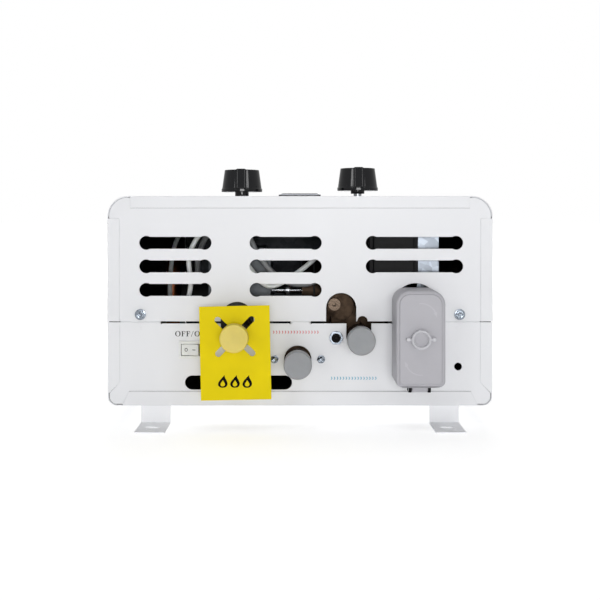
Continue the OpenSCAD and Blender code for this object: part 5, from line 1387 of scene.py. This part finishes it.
@dataclass
class PowerEntry:
    """Rocker switch with its legend, and the power socket."""

    frame_ease: float = 0.2 * MM
    rocker_ease: float = 0.25 * MM
    metal_ease: float = 0.15 * MM
    # Black insulator in the socket's bore: how far back it starts, radii, depth, base and edge
    liner_back: float = 0.2 * MM
    liner_r: float = 2.93 * MM
    liner_bore: float = 2.3 * MM
    liner_depth: float = 3 * MM
    liner_base: float = 1 * MM
    liner_edge: float = 0.3 * MM
    # Pin: radius, radius of its flat end, length of its nose, and how far back it ends
    pin_r: float = 1.05 * MM
    pin_flat: float = 0.63 * MM
    pin_nose: float = 0.4 * MM
    pin_back: float = 0.9 * MM
    # Rocker at rest: pivot, tilt in degrees, and the shallow V of its face
    pivot_y: float = -272.7 * MM
    rocker_tilt: float = 8.0
    rocker_face: float = -2.1 * MM
    rocker_v: float = 1.6 * MM
    rocker_half: float = 7.8 * MM
    # Marks on the rocker: distance from its middle, the ring outside and inside, and half the bar
    mark_out: float = 3.5 * MM
    ring_out: Pair = (1.35 * MM, 1.6 * MM)
    ring_in: Pair = (0.85 * MM, 1.1 * MM)
    bar: Pair = (1.5 * MM, 0.3 * MM)
    # Legend: left end and foot, height of its capitals, and the gap between them
    legend: str = "OFF/ON"
    legend_at: Pair = (-110.3 * MM, 77.6 * MM)
    legend_h: float = 4.6 * MM
    legend_gap: float = 0.75 * MM

    def build(self) -> None:
        """Make the switch, its marks and the socket."""
        ease_node("switch_frame", SWITCH_WHITE, self.frame_ease, "root", "switch_white")
        ease_node("switch_rocker", SWITCH_WHITE, self.rocker_ease, "rocker", "switch_white")
        ease_node("dc_socket", INSULATOR, self.metal_ease, "root", "coil_black")
        ease_node("dc_socket_nut", ZINC, self.metal_ease, "root", "zinc_screws")
        self.line_socket()
        self.print_legend()
        ring = [ring_points(*self.ring_out), ring_points(*self.ring_in)]
        self.print_on_half("rocker_off_ring", -1, ring)
        self.print_on_half("rocker_on_bar", 1, [box_outline(*self.bar)])

    def line_socket(self) -> None:
        """Line the socket's bore with its black insulator and put the pin in it."""
        axis = middle_of("dc_socket")
        nose = front_of("dc_socket") + self.liner_back
        floor = nose + self.liner_depth
        base = floor + self.liner_base
        tip = nose + self.pin_back
        rows = [(POLE, floor), (self.liner_bore, floor), (self.liner_bore, nose + self.liner_edge)]
        rows += [(self.liner_bore + self.liner_edge, nose), (self.liner_r, nose)]
        rows += [(self.liner_r, base), (POLE, base)]
        seat(new_piece("dc_socket_liner", turned(rows, axis, steps=40), INSULATOR), "root", "coil_black")
        rows = [(POLE, tip), (self.pin_flat, tip), (self.pin_r, tip + self.pin_nose), (self.pin_r, floor)]
        seat(new_piece("dc_socket_pin", turned(rows, axis, steps=24), ZINC), "root", "zinc_screws")

    def print_legend(self) -> None:
        """Print the legend above the switch in serif capitals, with a lighter slash."""
        across = 0.0
        dark: list[Outline] = []
        light: list[Outline] = []
        for letter in self.legend:
            width, strokes = SERIF_CAPITALS[letter]
            for stroke in strokes:
                placed = [(across + x * self.legend_h, z * self.legend_h) for x, z in stroke]
                (light if letter == "/" else dark).append(placed)
            across += width * self.legend_h + self.legend_gap
        at = (self.legend_at[0], front_of("connection_panel"), self.legend_at[1])
        seat(flat_print("switch_legend", dark, at, INK_BLACK), "root", "enamel")
        seat(flat_print("switch_legend_slash", light, at, INK_GREY), "root", "enamel")

    def print_on_half(self, name: str, side: int, outlines: Sequence[Outline]) -> None:
        """Print outlines on the left or right half of the rocker's shallow V.

        Args:
            name: Name of the print.
            side: -1 for the left half, 1 for the right half.
            outlines: Closed outlines in X and Z round the print's middle.
        """
        pivot = Vector((middle_of("switch_frame").x, self.pivot_y, middle_of("switch_frame").z))
        slope = math.atan2(side * self.rocker_v, self.rocker_half)
        sink = self.mark_out * self.rocker_v / self.rocker_half
        middle = Vector((side * self.mark_out, self.rocker_face - sink, 0.0))
        laid = (
            Matrix.Translation(pivot) @ Matrix.Rotation(math.radians(-self.rocker_tilt), 4, "Z")
            @ Matrix.Translation(middle) @ Matrix.Rotation(-slope, 4, "Z"))
        piece = flat_print(name, outlines, (0.0, 0.0, 0.0), INK_BLACK)
        piece.data.transform(laid)
        seat(piece, "rocker", "switch_white")


@dataclass
class BatteryHolder:
    """Battery box, its hinged cover and the turning latch."""

    box_ease: float = 0.35 * MM
    top_r: float = 12 * MM
    low_r: float = 5 * MM
    least_r: float = 1 * MM
    # Cover: depth, height, wall, edges of its mouth, soft shoulder and step up to the raised panel
    lid_depth: float = 11.7 * MM
    lid_h: float = 82 * MM
    wall: float = 2 * MM
    inner_r: float = 1 * MM
    mouth_in: float = 0.2 * MM
    mouth_out: float = 0.3 * MM
    shoulder: float = 2.3 * MM
    panel_step: float = 1.1 * MM
    panel_inset: float = 2.6 * MM
    panel_slope: float = 0.9 * MM
    hinge_ease: float = 0.2 * MM
    # Hole for the stem: from before the panel's face to behind it
    hole: Pair = (-1 * MM, 6 * MM)
    # Latch: ring, floor, stem with its play in the hole, and locking bar
    latch_r: float = 8.35 * MM
    latch_bore: float = 6.1 * MM
    latch_h: float = 4 * MM
    latch_floor: float = 1 * MM
    floor_edge: float = 0.4 * MM
    latch_edge: float = 0.2 * MM
    # Share of its half width by which the ring's lip is rounded
    lip_round: float = 0.8
    stem_r: float = 3.08 * MM
    stem_play: float = 0.08 * MM
    disc_gap: float = 0.5 * MM
    bar: Point = (20 * MM, 2 * MM, 6 * MM)
    bar_ease: float = 0.3 * MM
    # Wings: span, height, thumb pads with their rounding, and the necks that carry them
    latch_span: float = 25.5 * MM
    wing_h: float = 2.6 * MM
    pad_r: float = 1.9 * MM
    pad_round: float = 0.8 * MM
    pad_edge: float = 0.15 * MM
    neck_w: float = 2.2 * MM
    neck_h: float = 2.3 * MM
    neck_start: float = 6.6 * MM
    neck_ease: float = 0.5 * MM
    # Moulded arrows: bend, distance of its middle from the latch, line, head, rise and foot in the panel
    arrow_r: float = 13.5 * MM
    arrow_out: float = 16.8 * MM
    arrow_w: float = 1.0 * MM
    arrow_head: float = 1.54 * MM
    arrow_rise: float = 0.15 * MM
    arrow_foot: float = 0.1 * MM
    # Where the line starts, how far it bends and how far on its tip lies, in degrees
    arrow_turn: Point = (96.0, -70.0, -88.0)

    def build(self) -> None:
        """Make the box, the cover and the latch."""
        self.mould_box()
        self.mould_cover()
        self.raise_arrows()
        self.mould_latch()
        self.shade_latch_floor()

    def mould_box(self) -> None:
        """Mould the grey box, with its hinge ears as a piece of their own, drawn black as painted shade of
        the gaps round the hinge.
        """
        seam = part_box("battery_cover")[1][2] - self.lid_h
        for name, finish, slot, up, nodes in (
                ("battery_box_moulding", BATTERY_GREY, "battery_grey", 1, ["battery_box"]),
                # The ears are black as painted shade in the hinge's gaps
                ("battery_box_ears_painted_shade", INSULATOR, "coil_black", -1, [])):
            bm = node_copy("battery_box")
            cut_level(bm, seam, up)
            ease_edges(bm, self.box_ease)
            seat(new_piece(name, bm, finish), "root", slot, *nodes)

    def cover_ring(self, inset: float, y: float) -> list[Point]:
        """Return the cover's outline, drawn in by inset, at a depth."""
        low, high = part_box("battery_cover")
        radii = [max(radius - inset, self.least_r) for radius in (self.top_r, self.low_r)]
        outline = rounded_outline(high[0] - low[0] - 2 * inset, self.lid_h - 2 * inset, *radii)
        across, up = (low[0] + high[0]) / 2, high[2] - self.lid_h / 2
        return [(across + x, y, up + z) for x, z in outline]

    def mould_cover(self) -> None:
        """Mould the hollow cover with its soft shoulder, raised panel and hinge."""
        low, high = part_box("battery_cover")
        front, back = low[1], low[1] + self.lid_depth
        ledge = front + self.panel_step
        inside = ledge + self.wall
        rows = [(self.wall + self.inner_r, inside), (self.wall, inside + self.inner_r)]
        rows += [(self.wall, back - self.mouth_in), (self.wall - self.mouth_in, back)]
        rows += [(self.mouth_out, back), (0.0, back - self.mouth_out)]
        rows += [
            (self.shoulder * (1 - math.cos(a)), ledge + self.shoulder * (1 - math.sin(a)))
            for a in arc(steps=8)]
        steps = 6
        for t in (i / steps for i in range(steps + 1)):
            inset = self.panel_inset + self.panel_slope * t
            rows.append((inset, ledge - self.panel_step * smooth_step(t)))
        rows += [(self.panel_inset + 2 * self.panel_slope, front)]
        bm = bmesh.new()
        loft(bm, [self.cover_ring(inset, y) for inset, y in rows])
        hole = [(self.stem_r, front + y) for y in self.hole]
        bm = carved(bm, turned(hole, middle_of("battery_latch"), steps=40))
        # The knuckle, arm and pin below the cover are the frame's own
        hinge = node_copy("battery_cover")
        cut_level(hinge, high[2] - self.lid_h, -1)
        ease_edges(hinge, self.hinge_ease)
        join_to(bm, hinge)
        cover = new_piece("battery_cover_moulding", bm, BATTERY_GREY)
        seat(cover, "battery_cover_body", "battery_grey", "battery_cover")

    def raise_arrows(self) -> None:
        """Raise the two curved arrows on the panel, opposite each other round the latch."""
        bm = bmesh.new()
        for turn in (0, 180):
            self.add_arrow(bm, turn)
        bmesh.ops.recalc_face_normals(bm, faces=bm.faces)
        seat(new_piece("battery_cover_arrows", bm, ARROW_GREY), "battery_cover_body", "battery_grey")

    def add_arrow(self, bm: Shape, turn: float) -> None:
        """Add one curved arrow, turned about the latch's axis."""
        front = front_of("battery_cover")
        away = Matrix.Rotation(math.radians(-turn), 4, "Y") @ Vector((0.0, 0.0, self.arrow_out))
        middle = middle_of("battery_latch") + away
        start, sweep, reach = self.arrow_turn
        angles = arc(steps=12, start=turn + start, sweep=sweep)
        tip, head = math.radians(turn + start + reach), angles[-1]
        half = self.arrow_w / 2
        polar = [(self.arrow_r + half, a) for a in angles]
        polar += [(self.arrow_r + self.arrow_head, head), (self.arrow_r, tip)]
        polar += [(self.arrow_r - self.arrow_head, head)]
        polar += [(self.arrow_r - half, a) for a in reversed(angles)]
        outline = [(middle.x + r * math.cos(a), middle.z + r * math.sin(a)) for r, a in polar]
        foot, top = ([bm.verts.new((x, y, z)) for x, z in outline]
                     for y in (front + self.arrow_foot, front - self.arrow_rise))
        bm.faces.new(top)
        join_rings(bm, foot, top)

    def mould_latch(self) -> None:
        """Mould the latch: a rounded ring with two wings, on its stem and locking bar."""
        low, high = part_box("battery_latch")
        axis = middle_of("battery_latch")
        front, end = low[1], high[1]
        back = front + self.latch_h
        floor = back - self.latch_floor
        stem = self.stem_r - self.stem_play
        lip = (self.latch_r - self.latch_bore) / 2
        rows = [(POLE, floor), (self.latch_bore - self.floor_edge, floor)]
        rows += [(self.latch_bore, floor - self.floor_edge)]
        for a in arc(steps=10, sweep=180.0):
            radius = self.latch_bore + lip * (1 - math.cos(a))
            rows.append((radius, front + self.lip_round * lip * (1 - math.sin(a))))
        rows += [(self.latch_r, back - self.latch_edge), (self.latch_r - self.latch_edge, back)]
        rows += [(stem, back), (stem, end), (POLE, end)]
        bm = turned(rows, axis, steps=64)
        for side in (-1, 1):
            self.add_wing(bm, side, back)
        bar = block(self.bar, (axis.x, end - self.bar[1] / 2, axis.z))
        ease_edges(bar, self.bar_ease)
        join_to(bm, bar)
        latch = new_piece("battery_latch_moulding", bm, LATCH_GREY)
        seat(latch, "battery_latch_body", "battery_grey", "battery_latch")

    def add_wing(self, bm: Shape, side: int, back: float) -> None:
        """Add one wing: a neck from the ring to a round thumb pad.

        Args:
            bm: The latch.
            side: -1 for the left wing, 1 for the right one.
            back: Y of the latch's back.
        """
        axis = middle_of("battery_latch")
        tip = self.latch_span / 2 - self.pad_r
        front = back - self.wing_h
        crown = self.pad_r - self.pad_round
        rows = [(POLE, back), (self.pad_r - self.pad_edge, back), (self.pad_r, back - self.pad_edge)]
        rows += [
            (crown + self.pad_round * math.cos(a), front + self.pad_round * (1 - math.sin(a)))
            for a in arc(steps=5)]
        rows += [(POLE, front)]
        pad = turned(rows, axis + Vector((side * tip, 0.0, 0.0)), steps=28)
        length = tip - self.neck_start
        neck_at = (axis.x + side * (tip - length / 2), back - self.neck_h / 2, axis.z)
        neck = block((length, self.neck_h, self.neck_w), neck_at)
        ease_edges(neck, self.neck_ease, steps=3)
        join_to(bm, pad, neck)

    def shade_latch_floor(self) -> None:
        """Lay the darker disc in the ring of the latch, as painted shade on its recessed floor."""
        axis = middle_of("battery_latch")
        radius = self.latch_bore - self.disc_gap
        floor = front_of("battery_latch") + self.latch_h - self.latch_floor
        outline = ring_points(radius, radius, steps=48)
        disc = flat_print("battery_latch_shade_disc", [outline], (axis.x, floor, axis.z), BATTERY_GREY)
        seat(disc, "battery_latch_body", "battery_grey")


@dataclass
class Wiring:
    """Leads that are held inside the casing and show through the vents."""

    steps: int = 8
    # Points in millimetres along each lead
    ignition: tuple[Point, ...] = (
        (62, -225, 172), (50, -225, 172), (28, -244, 158), (2, -260, 136), (-26, -264, 121),
        (-44, -263, 136), (-62, -262, 164), (-84, -260, 172), (-99, -262, 150), (-98, -262, 122),
        (-104, -258, 104), (-118, -240, 102), (-124, -205, 128), (-122, -172, 160), (-108, -120, 176),
        (-68, -60, 186), (-38, -28, 188), (-30, -27, 178), (-30, -27, 172))
    ignition_r: float = 2.2 * MM
    harness: tuple[Point, ...] = (
        (62, -242, 146), (48, -242, 146), (30, -246, 134), (6, -250, 122), (-18, -251, 127),
        (-37, -250, 147), (-50, -248, 170), (-68, -240, 178), (-88, -222, 164), (-98, -206, 140),
        (-98, -205, 121))
    harness_r: float = 2.6 * MM
    red: tuple[Point, ...] = (
        (94, -220, 97), (94, -212, 97), (92, -208, 110), (88, -214, 121), (86, -222, 124), (86, -222, 128))
    blue: tuple[Point, ...] = (
        (110, -220, 62), (110, -212, 62), (110, -207, 80), (104, -207, 104), (98, -214, 122),
        (98, -222, 124), (98, -222, 128))
    battery_r: float = 1.2 * MM

    def build(self) -> None:
        """Sweep the three sets of leads."""
        leads = (
            ("ignition_lead_jacket", [self.ignition], self.ignition_r, LEAD_WHITE, "lead_white"),
            ("harness_sleeve_jacket", [self.harness], self.harness_r, SLEEVE_GREY, "sleeve_grey"),
            ("battery_leads_jackets", [self.red, self.blue], self.battery_r, LEAD_COLOURS, "lead_colours"),
        )
        for name, courses, radius, finish, slot in leads:
            jacket = tube_along(name, [self.route(points) for points in courses], radius, finish)
            seat(jacket, "root", slot, name.rpartition("_")[0])

    def route(self, points: Sequence[Point]) -> list[Point]:
        """Return a smooth route in metres, with straight ends, through points in millimetres."""
        curve = [points[0], *spline(points, self.steps), *points[-2:]]
        return [(x * MM, y * MM, z * MM) for x, y, z in curve]


@dataclass
class Innards:
    """Boxes inside the casing that show through the vents, and the flue end."""

    box_ease: float = 0.8 * MM
    bracket_ease: float = 0.3 * MM
    collar_ease: float = 0.2 * MM

    def build(self) -> None:
        """Ease the edges of the pieces that show."""
        ease_node("control_box", COIL_TAPE, self.box_ease, "root", "coil_black")
        ease_node("control_bracket", BRIGHT_SHEET, self.bracket_ease, "root", "sheet_steel")
        ease_node("flue_collar", SHEET_STEEL, self.collar_ease, "root", "sheet_steel")


@dataclass(frozen=True)
class Lamp:
    """A soft box: its name, place, width and height, and power in watts."""

    name: str
    at: Point
    size: Pair
    power: float


@dataclass
class Studio:
    """Camera, white floor and soft light."""

    camera_at: Point = (-2.65 * MM, -1075 * MM, 188.3 * MM)
    lens: float = 54.39
    sensor: float = 36.0
    shift: Pair = (0.005, -0.1483)
    clip: Pair = (0.01, 100.0)
    floor_size: float = 12.0
    floor_drop: float = 0.05 * MM
    # Light table: grey of the floor, the light that it gives, and the white that the camera sees in it
    floor_grey: str = "#f8f8f8"
    floor_light: float = 0.4
    floor_glow: float = 0.5
    # Distances between which the table's white grows to full, so that no horizon shows
    fade: Pair = (0.7, 1.8)
    # White of the room as glossy surfaces mirror it, and the light that it gives
    mirrored: float = 0.55
    sky: float = 0.11
    # Point that every lamp looks at
    aim: Point = (0.0, -0.2, 0.12)
    lamps: tuple[Lamp, ...] = (
        Lamp("left_strip", (-1.2, -1.72, 0.8), (0.34, 0.5), 3.0),
        Lamp("right_strip", (1.2, -1.72, 0.8), (0.34, 0.5), 3.0),
        Lamp("front_box", (0.12, -2.2, 0.24), (0.8, 0.45), 11.5),
        Lamp("fill_box", (0.0, -1.2, 2.4), (1.8, 1.0), 11.0),
        Lamp("top_box", (0.0, 0.75, 2.2), (1.6, 1.3), 12.0),
        Lamp("back_box", (0.0, 2.2, 1.4), (2.0, 1.0), 14.0),
    )

    def build(self) -> None:
        """Make the stage in the scene."""
        scene = bpy.context.scene
        scene.view_settings.view_transform = "Standard"
        self.place_camera(scene)
        self.lay_floor(scene)
        self.light_world(scene)
        for lamp in self.lamps:
            self.hang(lamp, scene)

    def place_camera(self, scene: bpy.types.Scene) -> None:
        """Put the camera level before the connection end."""
        data = bpy.data.cameras.new("camera")
        data.lens = self.lens
        data.sensor_width = self.sensor
        data.shift_x, data.shift_y = self.shift
        data.clip_start, data.clip_end = self.clip
        camera = bpy.data.objects.new("camera", data)
        camera.location = self.camera_at
        camera.rotation_euler = (math.radians(90), 0.0, 0.0)
        scene.collection.objects.link(camera)
        scene.camera = camera

    def lay_floor(self, scene: bpy.types.Scene) -> None:
        """Lay a pale floor that looks white to the camera and keeps the shadow."""
        bm = bmesh.new()
        bmesh.ops.create_grid(bm, x_segments=1, y_segments=1, size=self.floor_size)
        bmesh.ops.translate(bm, verts=bm.verts, vec=(0.0, 0.0, -self.floor_drop))
        mesh = bpy.data.meshes.new("floor")
        bm.to_mesh(mesh)
        bm.free()
        mesh.materials.append(self.paper())
        floor = bpy.data.objects.new("floor", mesh)
        scene.collection.objects.link(floor)

    def paper(self) -> bpy.types.Material:
        """Return the floor's matt paper, lit from below like a light table."""
        made = bpy.data.materials.new("matt_white_paper")
        made.use_nodes = True
        tree = made.node_tree
        tree.nodes.clear()
        matt = add_node(tree, "ShaderNodeBsdfDiffuse", {"Color": linear(self.floor_grey)})
        place = add_node(tree, "ShaderNodeTexCoord").outputs["Object"]
        away = vector_calc(tree, "LENGTH", place).outputs["Value"]
        seen = add_node(tree, "ShaderNodeMapRange", {
            "Value": away, "From Min": self.fade[0], "From Max": self.fade[1],
            "To Min": self.floor_glow, "To Max": 1.0,
        }).outputs["Result"]
        level = self.level(tree, self.floor_light, seen, self.floor_glow * self.mirrored)
        glow = add_node(tree, "ShaderNodeEmission", {"Strength": level})
        both = add_node(tree, "ShaderNodeAddShader", {0: matt.outputs[0], 1: glow.outputs[0]})
        add_node(tree, "ShaderNodeOutputMaterial", {"Surface": both.outputs[0]})
        return made

    def level(self, tree: Tree, given: float, seen: Any, mirrored: float) -> Socket:
        """Return the strength of a background by the kind of ray.

        Args:
            tree: Tree of the floor or the world.
            given: Light that it gives to the object.
            seen: Level for camera and transmission rays, as a value or a socket.
            mirrored: Level for glossy rays.
        Returns:
            The strength.
        """
        # The mix node's plain values are its inputs 2 and 3
        path = add_node(tree, "ShaderNodeLightPath").outputs
        clear = calc(tree, "MAXIMUM", path["Is Camera Ray"], path["Is Transmission Ray"])
        glossy = add_node(
            tree, "ShaderNodeMix", {0: path["Is Glossy Ray"], 2: given, 3: mirrored}, data_type="FLOAT")
        shown = add_node(
            tree, "ShaderNodeMix", {0: clear, 2: glossy.outputs[0], 3: seen}, data_type="FLOAT")
        return shown.outputs[0]

    def light_world(self, scene: bpy.types.Scene) -> None:
        """Fill the room with even light behind a white background."""
        world = bpy.data.worlds.new("white_room")
        world.use_nodes = True
        tree = world.node_tree
        tree.nodes.clear()
        level = self.level(tree, self.sky, 1.0, self.mirrored)
        glow = add_node(tree, "ShaderNodeBackground", {"Color": (1.0, 1.0, 1.0, 1.0), "Strength": level})
        add_node(tree, "ShaderNodeOutputWorld", {"Surface": glow.outputs[0]})
        scene.world = world

    def hang(self, lamp: Lamp, scene: bpy.types.Scene) -> None:
        """Hang a lamp in its place and turn it to the heater."""
        data = bpy.data.lights.new(lamp.name, "AREA")
        data.shape = "RECTANGLE"
        data.size, data.size_y = lamp.size
        data.energy = lamp.power
        made = bpy.data.objects.new(lamp.name, data)
        made.location = lamp.at
        made.rotation_euler = (Vector(self.aim) - Vector(lamp.at)).to_track_quat("-Z", "Y").to_euler()
        scene.collection.objects.link(made)


def dress_frame(frame: Mapping[str, Any]) -> None:
    """Give every frame node its finish, the node's own or that of its slot.

    Args:
        frame: The loaded frame.
    """
    for part in frame["record"]["subparts"]:
        node = frame["nodes"][part["node"]]
        finish = NODE_FINISHES.get(part["node"], SLOT_FINISHES[part["material_slot"]])
        node.data.materials.clear()
        node.data.materials.append(finish.material())
        LOG.info("%s is dressed in %s", part["node"], finish.name)


def main() -> None:
    """Load the frame, dress it, build the pieces round it and set the stage."""
    logging.basicConfig(level=logging.INFO, format="%(name)s: %(message)s")
    bpy.ops.wm.read_factory_settings(use_empty=True)
    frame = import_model()
    dress_frame(frame)
    Casing().build()
    FrontControls().build()
    PipeEnd("gas_inlet_fitting", "gas_cap", "gas_cap_body", CAP_CREAM, "cap_cream").build()
    GasTag().build()
    WaterSide().build()
    PowerEntry().build()
    BatteryHolder().build()
    Wiring().build()
    Innards().build()
    Studio().build()


if __name__ == "__main__":
    main()
